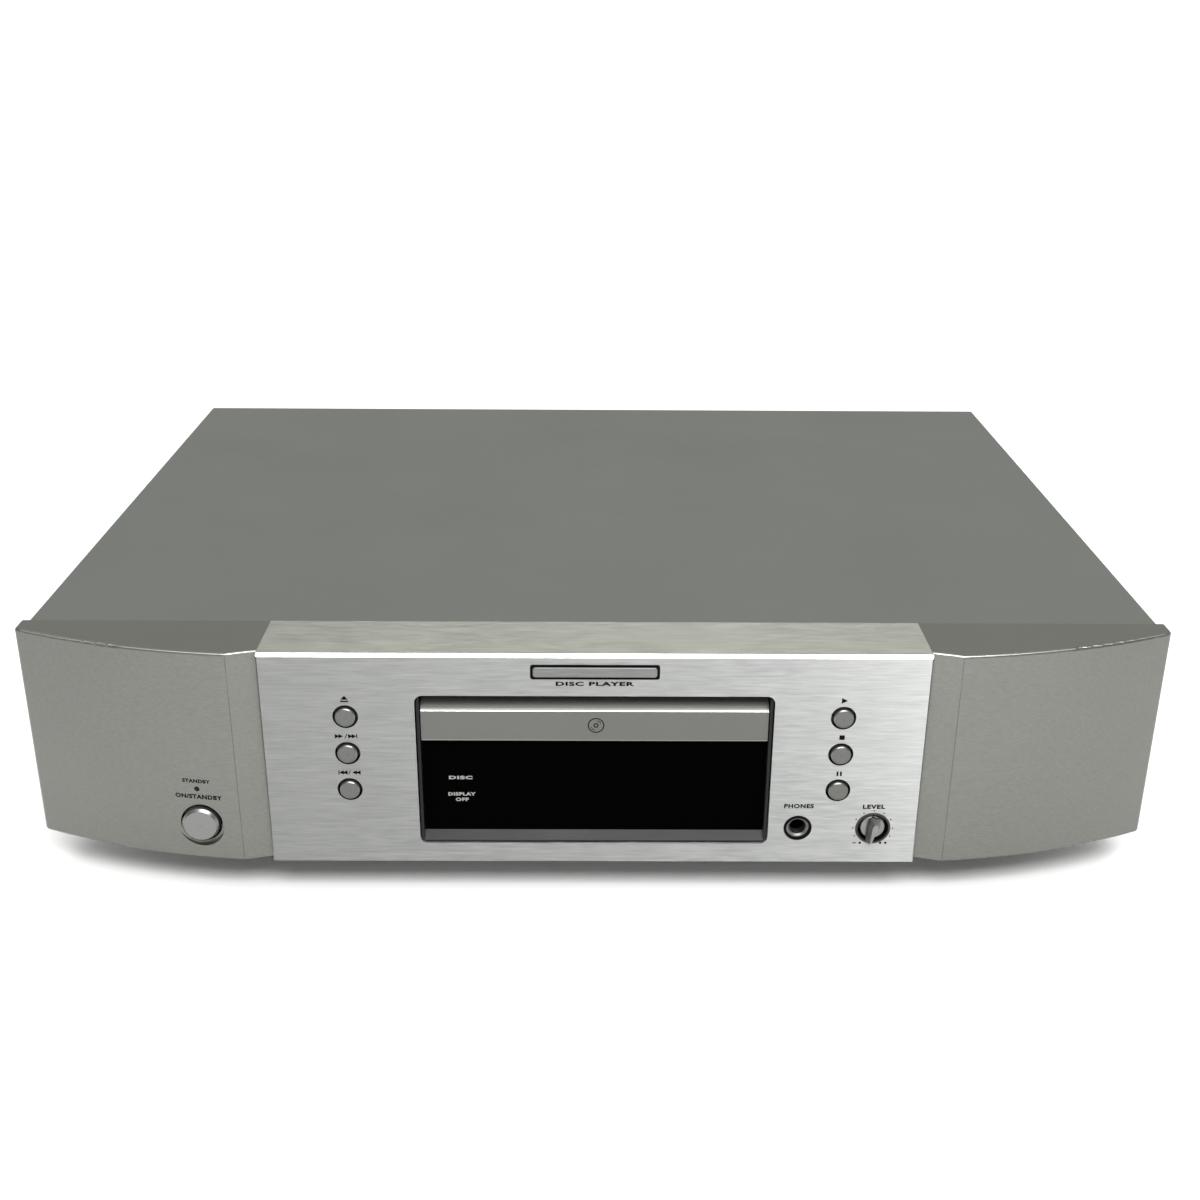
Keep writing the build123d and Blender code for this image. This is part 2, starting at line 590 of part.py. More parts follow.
power_cap = key_cap(7.1, 0.9, POWER_SEAT_Y - 2.6, POWER_SEAT_Y + 6.1)
with BuildPart() as power_button:
    with Locations(Plane((POWER_X, 0, POWER_Z), x_dir=(1, 0, 0), z_dir=(0, -1, 0))):
        add(power_cap)
save(power_button.part, "power_button")

# ---- headphone jack and level control ----
JACK_RING_R = 4.3
with BuildPart() as headphone_jack:
    with BuildSketch(front_plane(JACK_X, LOW_ROW_Z, FACE_Y + PANEL_T)):
        Rectangle(14, 14)
    extrude(amount=-(BOARD_Y - FACE_Y - PANEL_T))
    with BuildSketch(front_plane(JACK_X, LOW_ROW_Z, FACE_Y - 0.2)):
        Circle(JACK_HOLE_R - 0.1)
    extrude(amount=-(PANEL_T + 0.2))
    with BuildSketch(front_plane(JACK_X, LOW_ROW_Z, FACE_Y - 0.2)):
        Circle(JACK_RING_R)
    extrude(amount=-5, mode=Mode.SUBTRACT)
    with BuildSketch(front_plane(JACK_X, LOW_ROW_Z, FACE_Y - 0.2)):
        Circle(JACK_BORE_R)
    extrude(amount=-15.5, mode=Mode.SUBTRACT)
save(headphone_jack.part, "headphone_jack")

with BuildPart() as headphone_ring:
    with BuildSketch(front_plane(JACK_X, LOW_ROW_Z, FACE_Y + 0.5)):
        Circle(JACK_RING_R)
        Circle(JACK_BORE_R, mode=Mode.SUBTRACT)
    extrude(amount=-4.3)
    mouth = headphone_ring.edges().filter_by(GeomType.CIRCLE).group_by(Axis.Y)[0].sort_by(SortBy.RADIUS)[0]
    chamfer(mouth, 0.6)
save(headphone_ring.part, "headphone_ring")

KNOB_FACE_Y = FACE_Y + 0.6
with BuildPart() as level_knob:
    with BuildSketch(front_plane(KNOB_X, LOW_ROW_Z, KNOB_FACE_Y)):
        Circle(4.8)
    extrude(amount=-4.0)
    chamfer(level_knob.edges().filter_by(GeomType.CIRCLE).group_by(Axis.Y)[0], 0.3)
    with BuildSketch(front_plane(KNOB_X, LOW_ROW_Z, FACE_Y - 0.5)):
        Rectangle(3, 9, rotation=-KNOB_REST)
    extrude(amount=-1.3)
    with BuildSketch(front_plane(KNOB_X, LOW_ROW_Z, FACE_Y - 0.4)):
        with Locations(Rotation(0, 0, -KNOB_REST)):
            Polygon((-1.9, 4.4), (-2.3, 1.5), (-1.5, -5.6), (0, -6.9), (1.5, -5.6), (2.3, 1.5), (1.9, 4.4),
                    align=None)
    extrude(amount=3.1, taper=22)
    with BuildSketch(front_plane(KNOB_X, LOW_ROW_Z, KNOB_FACE_Y + 4.0)):
        Circle(3.0)
    extrude(amount=-9.2)
save(level_knob.part, "level_knob")

with BuildPart() as level_control:
    with BuildSketch(front_plane(KNOB_X, LOW_ROW_Z, BOARD_Y - 8.6)):
        RectangleRounded(11, 11, 0.8)
    extrude(amount=-8.6)
    with BuildSketch(front_plane(KNOB_X, LOW_ROW_Z, KNOB_FACE_Y + 6.2)):
        Circle(4.4)
    extrude(amount=-2.0)
    with BuildSketch(front_plane(KNOB_X, LOW_ROW_Z, KNOB_FACE_Y + 6.2)):
        Circle(3.0 + RUN)
    extrude(amount=-7.3, mode=Mode.SUBTRACT)
save(level_control.part, "level_control")

# ================= power supply and main board =================

BOARD_Z = 25.0
with BuildPart() as main_circuit_board:
    with BuildSketch(Plane.XY.offset(BOARD_Z)):
        with Locations((148, 27)):
            Rectangle(118, 250)
        with Locations(*BOARD_STANDS[:4]):
            Circle(1.6, mode=Mode.SUBTRACT)
    extrude(amount=BOARD_T)
save(main_circuit_board.part, "main_circuit_board")

with BuildPart() as power_supply_board:
    with BuildSketch(Plane.XY.offset(BOARD_Z)):
        with Locations((-155, 90)):
            Rectangle(104, 116)
        with Locations(*BOARD_STANDS[4:]):
            Circle(1.6, mode=Mode.SUBTRACT)
    extrude(amount=BOARD_T)
save(power_supply_board.part, "power_supply_board")

with BuildPart() as board_standoffs:
    with BuildSketch(Plane.XY.offset(BASE_Z + SHEET)):
        with Locations(*BOARD_STANDS):
            RegularPolygon(2.8, 6)
            Circle(1.5, mode=Mode.SUBTRACT)
    extrude(amount=BOARD_Z - BASE_Z - SHEET)
save(board_standoffs.part, "board_standoffs")

TRANSFORMER_X, TRANSFORMER_Y = -150.0, -62.0
with BuildPart() as transformer_core:
    with BuildSketch(Plane.XY.offset(BASE_Z + SHEET)):
        with Locations((TRANSFORMER_X, TRANSFORMER_Y)):
            Rectangle(92, 34)
            with GridLocations(80, 1, 2, 1):
                Circle(2, mode=Mode.SUBTRACT)
    extrude(amount=2)
    with BuildSketch(Plane.XY.offset(BASE_Z + SHEET + 2)):
        with Locations((TRANSFORMER_X, TRANSFORMER_Y)):
            Rectangle(66, 34)
    extrude(amount=55)
    with BuildSketch(Plane.XZ.offset(-(TRANSFORMER_Y + 20))):
        with Locations((TRANSFORMER_X - 16.5, 46.5), (TRANSFORMER_X + 16.5, 46.5)):
            Rectangle(11, 33)
    extrude(amount=40, mode=Mode.SUBTRACT)
save(transformer_core.part, "transformer_core")

with BuildPart() as transformer_winding:
    with BuildSketch(Plane.XY.offset(30.2)):
        with Locations((TRANSFORMER_X, TRANSFORMER_Y)):
            RectangleRounded(43.6, 54, 4)
            Rectangle(22.4, 34.4, mode=Mode.SUBTRACT)
    extrude(amount=32.6)
save(transformer_winding.part, "transformer_winding")

with BuildPart() as filter_capacitors:
    with BuildSketch(Plane.XY.offset(BOARD_Z + BOARD_T)):
        with Locations((-185, 75), (-160, 75), (-185, 102), (-160, 102)):
            Circle(9)
        with Locations((120, -20), (140, -20), (120, 6), (140, 6)):
            Circle(6.5)
    extrude(amount=28)
    chamfer(filter_capacitors.edges().filter_by(GeomType.CIRCLE).group_by(Axis.Z)[-1], 0.8)
save(filter_capacitors.part, "filter_capacitors")

with BuildPart() as heat_sink:
    with BuildSketch(Plane.XY.offset(BOARD_Z + BOARD_T)):
        with Locations((-122, 90)):
            Rectangle(4, 60)
        with Locations((-116, 90)):
            with GridLocations(1, 7, 1, 9):
                Rectangle(10, 1.6)
    extrude(amount=34)
save(heat_sink.part, "heat_sink")

# ================= disc drive: frame =================

OPENING_HALF_W = 38.5
DRIVE_FLOOR_TOP = DRIVE_FLOOR_Z + DRIVE_FLOOR_T
POST_R = 4.0
with BuildPart() as drive_frame:
    with BuildSketch(Plane.XY.offset(DRIVE_FLOOR_Z)):
        with Locations((0, (DRIVE_Y0 + DRIVE_Y1) / 2)):
            Rectangle(DRIVE_W, DRIVE_Y1 - DRIVE_Y0)
        with Locations((0, (DECK_Y0 - 1.5 + DRIVE_Y1 - 7) / 2)):
            Rectangle(2 * OPENING_HALF_W, DRIVE_Y1 - 7 - DECK_Y0 + 1.5, mode=Mode.SUBTRACT)
        with Locations((MOTOR_X, MOTOR_Y)):
            Circle(3.5, mode=Mode.SUBTRACT)
    extrude(amount=DRIVE_FLOOR_T)
    with BuildSketch(Plane.XY.offset(DRIVE_FLOOR_TOP)):
        for side in (-1, 1):
            with Locations((side * (DRIVE_W - WALL) / 2, (DRIVE_Y0 + DRIVE_Y1) / 2)):
                Rectangle(WALL, DRIVE_Y1 - DRIVE_Y0)
        with Locations((0, DRIVE_Y1 - WALL / 2)):
            Rectangle(DRIVE_W, WALL)
    extrude(amount=DRIVE_TOP_Z - DRIVE_FLOOR_TOP)
    # ledges under the tray's edges, and tabs over them
    with BuildSketch(Plane.XY.offset(TRAY_Z0 - 0.3)):
        for side in (-1, 1):
            with Locations((side * (DRIVE_W / 2 - 5.5), (DRIVE_Y0 + DRIVE_Y1) / 2)):
                Rectangle(11, DRIVE_Y1 - DRIVE_Y0)
    extrude(amount=-2)
    with BuildSketch(Plane.XY.offset(TRAY_Z1 + 0.3)):
        for side in (-1, 1):
            with Locations((side * (DRIVE_W / 2 - 5), -134), (side * (DRIVE_W / 2 - 5), -30)):
                Rectangle(10, 12)
    extrude(amount=2.2)
    # gear posts on the front shelf
    with BuildSketch(Plane.XY.offset(DRIVE_FLOOR_TOP)):
        with Locations((WHEEL_X, WHEEL_Y), (IDLER_X, WHEEL_Y)):
            Circle(3.4)
    extrude(amount=1.2)
    with BuildSketch(Plane.XY.offset(DRIVE_FLOOR_TOP)):
        with Locations((WHEEL_X, WHEEL_Y), (IDLER_X, WHEEL_Y)):
            Circle(1.5)
    extrude(amount=11.5)
    # lugs on the drive posts
    with BuildSketch(Plane.XY.offset(BASE_Z + SHEET)):
        with Locations(*POST_PLACES):
            Circle(POST_R)
    extrude(amount=DRIVE_FLOOR_Z - BASE_Z - SHEET)
    # bearings of the deck's pivot
    with BuildSketch(Plane.XY.offset(DRIVE_FLOOR_TOP)):
        for side in (-1, 1):
            with Locations((side * (OPENING_HALF_W + 2.5), PIVOT_Y)):
                Rectangle(3.4, 8)
    extrude(amount=6)
    with BuildSketch(Plane.YZ.offset(-OPENING_HALF_W - 6)):
        with Locations((PIVOT_Y, PIVOT_Z)):
            Circle(1.5 + RUN)
    extrude(amount=2 * OPENING_HALF_W + 12, mode=Mode.SUBTRACT)
save(drive_frame.part, "drive_frame")

PUCK_HOLE_R = 13.5
with BuildPart() as clamp_bridge:
    with BuildSketch(Plane.XY.offset(DRIVE_TOP_Z)):
        with Locations((0, DISC_Y)):
            Rectangle(DRIVE_W, 44)
            Circle(PUCK_HOLE_R, mode=Mode.SUBTRACT)
            with GridLocations(88, 22, 2, 2):
                Circle(5, mode=Mode.SUBTRACT)
    extrude(amount=1.5)
    fillet(clamp_bridge.edges().filter_by(Axis.Z), 1.5)
save(clamp_bridge.part, "clamp_bridge")

with BuildPart() as clamp_puck:
    with BuildSketch(Plane.XZ):
        with BuildLine():
            Polyline((0, 83.0), (5.5, 83.0), (8.5, 81.5), (8.5, 79.6), (12.0, 79.6), (12.0, 88.0),
                     (16.5, 88.0), (16.5, 89.6), (11.0, 90.2), (11.0, 92.6), (0, 92.6), (0, 83.0))
        make_face()
    revolve(axis=Axis.Z)
disc_axis_puck = Pos(0, DISC_Y, 0) * clamp_puck.part
save(disc_axis_puck, "clamp_puck")

# ---- loading motor, belt and gears ----
with BuildPart() as loading_motor:
    with BuildSketch(Plane.XY.offset(DRIVE_FLOOR_Z)):
        with Locations((MOTOR_X, MOTOR_Y)):
            Circle(10.5)
    extrude(amount=-24)
    chamfer(loading_motor.edges().filter_by(GeomType.CIRCLE).group_by(Axis.Z)[0], 1)
    with BuildSketch(Plane.XY.offset(DRIVE_FLOOR_Z)):
        with Locations((MOTOR_X, MOTOR_Y)):
            Circle(3.2)
            Circle(1.0 + RUN, mode=Mode.SUBTRACT)
    extrude(amount=1.5)
    with BuildSketch(Plane.XY.offset(DRIVE_FLOOR_Z)):
        with Locations((MOTOR_X, MOTOR_Y)):
            Circle(1.0 + RUN)
    extrude(amount=-8, mode=Mode.SUBTRACT)
save(loading_motor.part, "loading_motor")

BELT_R = 0.6


def grooved_pulley(groove_r, rim_r):
    """Half of a pulley's section, about Z, with its belt groove centred on BELT_Z."""
    Polyline((0, BELT_Z - 1.6), (rim_r, BELT_Z - 1.6), (rim_r, BELT_Z - 1.2),
             (groove_r - BELT_R, BELT_Z - 0.65), (groove_r - BELT_R, BELT_Z + 0.65),
             (rim_r, BELT_Z + 1.2), (rim_r, BELT_Z + 1.6), (0, BELT_Z + 1.6), (0, BELT_Z - 1.6))


with BuildPart() as motor_pulley:
    with BuildSketch(Plane.XZ):
        with BuildLine():
            grooved_pulley(MOTOR_PULLEY_R, 4.0)
        make_face()
    revolve(axis=Axis.Z)
    with BuildSketch(Plane.XY.offset(DRIVE_FLOOR_Z - 7)):
        Circle(1.0)
    extrude(amount=BELT_Z - DRIVE_FLOOR_Z + 7)
save(Pos(MOTOR_X, MOTOR_Y, 0) * motor_pulley.part, "motor_pulley")

idler_phase = 180 + 180 / IDLER_TEETH
with BuildPart() as pulley_gear:
    with BuildSketch(Plane.XZ):
        with BuildLine():
            grooved_pulley(IDLER_PULLEY_R, 13.0)
        make_face()
    revolve(axis=Axis.Z)
    with BuildSketch(Plane.XY.offset(BELT_Z + 1.6)):
        Circle(5)
    extrude(amount=1.5)
    with BuildSketch(Plane.XY.offset(BELT_Z + 3.1)):
        Polygon(*gear_outline(IDLER_TEETH, MODULE, idler_phase), align=None)
    extrude(amount=4)
    with BuildSketch(Plane.XY.offset(DRIVE_FLOOR_TOP)):
        Circle(1.5 + RUN)
    extrude(amount=12, mode=Mode.SUBTRACT)
save(Pos(IDLER_X, WHEEL_Y, 0) * pulley_gear.part, "pulley_gear")

WHEEL_Z = BELT_Z + 3.6
with BuildPart() as drive_gear:
    with BuildSketch(Plane.XY.offset(WHEEL_Z)):
        Polygon(*gear_outline(WHEEL_TEETH, MODULE, 0), align=None)
        with PolarLocations(10, 6):
            Circle(2.4, mode=Mode.SUBTRACT)
    extrude(amount=3)
    with BuildSketch(Plane.XY.offset(WHEEL_Z + 3)):
        Polygon(*gear_outline(PINION_TEETH, MODULE, 180), align=None)
    extrude(amount=TRAY_Z0 - 0.5 - WHEEL_Z - 3)
    with BuildSketch(Plane.XY.offset(DRIVE_FLOOR_TOP + 1.3)):
        Circle(3.2)
    extrude(amount=WHEEL_Z - DRIVE_FLOOR_TOP - 1.3)
    with BuildSketch(Plane.XY.offset(DRIVE_FLOOR_TOP)):
        Circle(1.5 + RUN)
    extrude(amount=12, mode=Mode.SUBTRACT)
save(Pos(WHEEL_X, WHEEL_Y, 0) * drive_gear.part, "drive_gear")

# The belt runs tangent to both pulleys, in a plane square to their axes.
belt_x, belt_y = MOTOR_X - IDLER_X, MOTOR_Y - WHEEL_Y
belt_length = sqrt(belt_x ** 2 + belt_y ** 2)
belt_turn = degrees(atan2(belt_y, belt_x))
belt_gap = 0.08
with BuildPart() as drive_belt:
    with BuildSketch(Plane.XY.offset(BELT_Z - BELT_R + 0.05)):
        with BuildLine() as belt_line:
            big_r, small_r = IDLER_PULLEY_R + belt_gap, MOTOR_PULLEY_R + belt_gap
            lean = degrees(atan2((big_r - small_r), sqrt(belt_length ** 2 - (big_r - small_r) ** 2)))
            CenterArc((0, 0), big_r, 90 - lean, 180 + 2 * lean)
            CenterArc((belt_length, 0), small_r, -90 + lean, 180 - 2 * lean)
            Line(belt_line.edges()[0] @ 0, belt_line.edges()[1] @ 1)
            Line(belt_line.edges()[0] @ 1, belt_line.edges()[1] @ 0)
        make_face()
        offset(amount=BELT_R - 0.05, mode=Mode.REPLACE)
        offset(amount=0.1 - 2 * BELT_R, mode=Mode.SUBTRACT)
    extrude(amount=2 * BELT_R - 0.1)
save(Pos(IDLER_X, WHEEL_Y, 0) * Rot(0, 0, belt_turn) * drive_belt.part, "drive_belt")

# ---- tray ----
RACK_Z = WHEEL_Z + 3.3
RACK_Y0, RACK_Y1 = -134.0, 21.0
with BuildPart() as disc_tray:
    with BuildSketch(Plane.XY.offset(TRAY_Z0)):
        with Locations((0, (TRAY_Y0 + TRAY_Y1) / 2)):
            RectangleRounded(TRAY_W, TRAY_Y1 - TRAY_Y0, 3)
    extrude(amount=TRAY_Z1 - TRAY_Z0)
    with BuildSketch(Plane.XY.offset(TRAY_FLOOR_Z)):
        with Locations((0, DISC_Y)):
            Circle(DISC_R + 0.6)
    extrude(amount=TRAY_Z1 - TRAY_FLOOR_Z, mode=Mode.SUBTRACT)
    with BuildSketch(Plane.XY.offset(TRAY_FLOOR_Z - 0.8)):
        with Locations((0, DISC_Y)):
            Circle(40.5)
    extrude(amount=TRAY_Z1 - TRAY_FLOOR_Z + 0.8, mode=Mode.SUBTRACT)
    # the slot for the turntable and the pickup, open at the rear
    with BuildSketch(Plane.XY.offset(TRAY_Z0)):
        with Locations((0, DISC_Y)):
            Circle(TRAY_SLOT_W / 2)
        with Locations((0, (DISC_Y + TRAY_Y1) / 2)):
            Rectangle(TRAY_SLOT_W, TRAY_Y1 - DISC_Y)
    extrude(amount=TRAY_Z1 - TRAY_Z0, mode=Mode.SUBTRACT)
    # finger notches beside the disc
    with BuildSketch(Plane.XY.offset(TRAY_FLOOR_Z - 0.8)):
        with Locations((-46, DISC_Y - 38), (46, DISC_Y - 38)):
            Circle(9)
    extrude(amount=TRAY_Z1 - TRAY_FLOOR_Z + 0.8, mode=Mode.SUBTRACT)
    # upright front flange behind the door
    with BuildSketch(Plane.XY.offset(70)):
        with Locations((0, TRAY_Y0 + 1)):
            Rectangle(TRAY_W - 8, 2)
    extrude(amount=13)
    with BuildSketch(Plane.XY.offset(RACK_Z)):
        Polygon(*rack_outline(MODULE, RACK_X, WHEEL_Y, RACK_Y0, RACK_Y1, 5), align=None)
    extrude(amount=TRAY_Z0 - RACK_Z)
save(disc_tray.part, "disc_tray")

DOOR_HALF_W, DOOR_Y, DOOR_Z0 = 65.1, FACE_Y + 1.6, 67.8
with BuildPart() as tray_door:
    with BuildSketch(Plane.YZ.offset(-DOOR_HALF_W)):
        with BuildLine():
            Polyline((DOOR_Y + 0.3, DOOR_Z0), (DOOR_Y, DOOR_Z0 + 0.4), (DOOR_Y, 80.4),
                     (DOOR_Y + 0.9, 81.3), (TRAY_Y0 - 2.4, 86.0), (TRAY_Y0, 86.0), (TRAY_Y0, DOOR_Z0),
                     (DOOR_Y + 0.3, DOOR_Z0))
        make_face()
    extrude(amount=2 * DOOR_HALF_W)
    with BuildSketch(Plane.XZ.offset(-TRAY_Y0)):
        with Locations((-40, 75), (40, 75)):
            Rectangle(24, 6)
    extrude(amount=5, mode=Mode.SUBTRACT)
save(tray_door.part, "tray_door")

# ---- cam slider that raises and lowers the deck ----
CAM_Y0, CAM_Y1 = -122.4, -120.0
drop = (PIVOT_Y - (CAM_Y0 + CAM_Y1) / 2) * sin(radians(DECK_DROP))
slot_turn = degrees(atan2(drop, CAM_STROKE))
with BuildPart() as cam_slider:
    with BuildSketch(front_plane(PIN_X, 0, CAM_Y0)):
        with Locations((-CAM_STROKE / 2, (DRIVE_FLOOR_TOP + 0.4 + 72) / 2)):
            Rectangle(CAM_STROKE + 10, 72 - DRIVE_FLOOR_TOP - 0.4)
        with Locations((-CAM_STROKE / 2, PIN_Z - drop / 2)):
            SlotCenterToCenter(sqrt(CAM_STROKE ** 2 + drop ** 2), 2 * PIN_R + 0.7, rotation=slot_turn,
                               mode=Mode.SUBTRACT)
    extrude(amount=CAM_Y0 - CAM_Y1)
save(cam_slider.part, "cam_slider")

# ---- traverse deck ----
SPINDLE_MOTOR_R = 13.0
with BuildPart() as traverse_deck:
    with BuildSketch(Plane.XY.offset(DECK_Z)):
        with Locations((0, (DECK_Y0 + DECK_Y1) / 2)):
            RectangleRounded(DECK_W, DECK_Y1 - DECK_Y0, 2)
        with Locations((-16, DECK_Y0)):
            Rectangle(40, 21, mode=Mode.SUBTRACT)
        with Locations((0, PICKUP_Y + 17)):
            Rectangle(34, 66, mode=Mode.SUBTRACT)
        with Locations((0, DISC_Y)):
            Circle(4, mode=Mode.SUBTRACT)
        with Locations((SLED_X, SLED_Y)):
            Circle(2.2, mode=Mode.SUBTRACT)
    extrude(amount=DECK_T)
    # rails that carry the pickup
    with BuildSketch(Plane.XY.offset(DECK_Z + DECK_T)):
        for side in (-1, 1):
            with Locations((side * 15.5, PICKUP_Y + 17)):
                Rectangle(2, 70)
    extrude(amount=1.2)
    # front pin and its bracket
    with BuildSketch(Plane.XY.offset(DECK_Z + DECK_T)):
        with Locations((PIN_X, DECK_Y0 + 2)):
            Rectangle(8, 3)
    extrude(amount=PIN_Z + 2.5 - DECK_Z - DECK_T)
    with BuildSketch(front_plane(PIN_X, PIN_Z, DECK_Y0 + 2)):
        Circle(PIN_R)
    extrude(amount=DECK_Y0 + 2 - CAM_Y0 + 1.2)
    # pivot barrels and pins
    with BuildSketch(Plane.YZ.offset(-OPENING_HALF_W + 2.3)):
        with Locations((PIVOT_Y, PIVOT_Z + 0.8)):
            Rectangle(4, 4.5)
    extrude(amount=2 * OPENING_HALF_W - 4.6)
    with BuildSketch(Plane.YZ.offset(-OPENING_HALF_W - 3.4)):
        with Locations((PIVOT_Y, PIVOT_Z)):
            Circle(1.5)
    extrude(amount=2 * OPENING_HALF_W + 6.8)
save(traverse_deck.part, "traverse_deck")

with BuildPart() as spindle_motor:
    with BuildSketch(Plane.XY.offset(DECK_Z)):
        with Locations((0, DISC_Y)):
            Circle(SPINDLE_MOTOR_R)
            Circle(1.0 + RUN, mode=Mode.SUBTRACT)
    extrude(amount=-10)
    with BuildSketch(Plane.XY.offset(DECK_Z - 11)):
        with Locations((0, DISC_Y)):
            Circle(5)
    extrude(amount=1)
    with BuildSketch(Plane.XY.offset(DECK_Z)):
        with Locations((0, DISC_Y)):
            Circle(3.9)
            Circle(1.0 + RUN, mode=Mode.SUBTRACT)
    extrude(amount=DECK_T + 1)
save(spindle_motor.part, "spindle_motor")

HUB_TOP_Z = 80.8
with BuildPart() as turntable:
    with BuildSketch(Plane.XZ):
        with BuildLine():
            Polyline((0, 53), (1.0, 53), (1.0, 66), (5, 66), (5, 74.5), (14.5, 76), (14.5, DISC_PLANE_Z),
                     (7.4, DISC_PLANE_Z), (7.3, 79), (5, HUB_TOP_Z), (0, HUB_TOP_Z), (0, 53))
        make_face()
    revolve(axis=Axis.Z)
save(Pos(0, DISC_Y, 0) * turntable.part, "turntable")

with BuildPart() as optical_pickup:
    with BuildSketch(Plane.XY.offset(DECK_Z + DECK_T + 1.5)):
        with Locations((0, PICKUP_Y)):
            RectangleRounded(36, 26, 2)
    extrude(amount=5)
    with BuildSketch(Plane.XY.offset(DECK_Z + DECK_T + 6.5)):
        with Locations((0, PICKUP_Y)):
            RectangleRounded(18, 15, 2)
    extrude(amount=3.0)
    with BuildSketch(Plane.XY.offset(DECK_Z + DECK_T + 9.5)):
        with Locations((0, PICKUP_Y)):
            Circle(3.2)
    extrude(amount=1.6)
    with BuildSketch(Plane.XY.offset(DECK_Z + DECK_T + 11.1)):
        with Locations((0, PICKUP_Y)):
            Circle(2.3)
    extrude(amount=-0.8, mode=Mode.SUBTRACT)
    with BuildSketch(Plane.XY.offset(DECK_Z + DECK_T + 1.5)):
        Polygon(*rack_outline(SLED_MODULE, SLED_RACK_X, SLED_Y, PICKUP_Y - 21, PICKUP_Y + 21, 3.5),
                align=None)
    extrude(amount=3.5)
save(optical_pickup.part, "optical_pickup")

with BuildPart() as sled_motor:
    with BuildSketch(Plane.XY.offset(DECK_Z)):
        with Locations((SLED_X, SLED_Y)):
            Circle(6)
    extrude(amount=-14)
    with BuildSketch(Plane.XY.offset(DECK_Z)):
        with Locations((SLED_X, SLED_Y)):
            Circle(2.1)
    extrude(amount=DECK_T + 0.6)
    with BuildSketch(Plane.XY.offset(DECK_Z + DECK_T + 0.6)):
        with Locations((SLED_X, SLED_Y)):
            Circle(0.8 + RUN)
    extrude(amount=-12, mode=Mode.SUBTRACT)
save(sled_motor.part, "sled_motor")

with BuildPart() as sled_gear:
    with BuildSketch(Plane.XY.offset(DECK_Z + DECK_T + 1.2)):
        Polygon(*gear_outline(SLED_TEETH, SLED_MODULE, 180), align=None)
    extrude(amount=4)
    with BuildSketch(Plane.XY.offset(DECK_Z + DECK_T - 8)):
        Circle(0.8)
    extrude(amount=9.5)
save(Pos(SLED_X, SLED_Y, 0) * sled_gear.part, "sled_gear")
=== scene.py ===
"""Looks of the disc player: materials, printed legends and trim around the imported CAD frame."""
import math

import bpy
from mathutils import Matrix, Vector
from mathutils.bvhtree import BVHTree


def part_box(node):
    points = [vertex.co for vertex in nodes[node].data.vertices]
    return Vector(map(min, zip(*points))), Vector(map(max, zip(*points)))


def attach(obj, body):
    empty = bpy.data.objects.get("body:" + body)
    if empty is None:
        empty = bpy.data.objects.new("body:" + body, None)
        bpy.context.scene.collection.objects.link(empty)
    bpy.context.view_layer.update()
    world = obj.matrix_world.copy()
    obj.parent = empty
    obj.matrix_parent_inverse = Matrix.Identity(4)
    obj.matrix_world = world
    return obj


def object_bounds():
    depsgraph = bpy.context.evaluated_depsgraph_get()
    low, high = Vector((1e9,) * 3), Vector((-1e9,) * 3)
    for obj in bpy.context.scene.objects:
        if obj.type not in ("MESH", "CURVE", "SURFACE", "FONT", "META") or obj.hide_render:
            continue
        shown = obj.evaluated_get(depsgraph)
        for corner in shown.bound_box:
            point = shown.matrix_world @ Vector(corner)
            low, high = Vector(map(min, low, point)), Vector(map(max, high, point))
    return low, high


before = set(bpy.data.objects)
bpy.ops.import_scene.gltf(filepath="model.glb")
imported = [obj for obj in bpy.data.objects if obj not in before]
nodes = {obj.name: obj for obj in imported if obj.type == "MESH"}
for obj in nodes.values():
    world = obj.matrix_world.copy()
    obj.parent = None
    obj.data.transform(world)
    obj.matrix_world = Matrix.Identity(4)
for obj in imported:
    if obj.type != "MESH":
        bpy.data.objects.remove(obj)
cad_low, cad_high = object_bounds()
MM = 0.001

# ---------------------------------------------------------------- camera
LENS_MM, SENSOR_MM = 44.37, 36.0
CAMERA_PLACE = Vector((-3, -657, 334)) * MM
LOOK_DOWN, YAW, ROLL = 22.97, 0.54, 0.42    # degrees
CLIP_NEAR, CLIP_FAR = 0.01, 50


def make_camera():
    """The camera, at the photograph's viewing angle."""
    data = bpy.data.cameras.new("camera")
    data.lens, data.sensor_width = LENS_MM, SENSOR_MM
    data.clip_start, data.clip_end = CLIP_NEAR, CLIP_FAR
    camera = bpy.data.objects.new("camera", data)
    turn = (Matrix.Rotation(math.radians(-YAW), 4, "Z")
            @ Matrix.Rotation(math.radians(90 - LOOK_DOWN), 4, "X")
            @ Matrix.Rotation(math.radians(ROLL), 4, "Z"))
    camera.matrix_world = Matrix.Translation(CAMERA_PLACE) @ turn
    bpy.context.scene.collection.objects.link(camera)
    bpy.context.scene.camera = camera


make_camera()


# ---------------------------------------------------------------- material toolkit
NOISE_SWING = 0.25      # Blender's noise seldom strays further than this from 0.5


def times(colour, factor):
    """A colour made lighter or darker, with no channel above 1."""
    return tuple(min(1, c * factor) for c in colour)


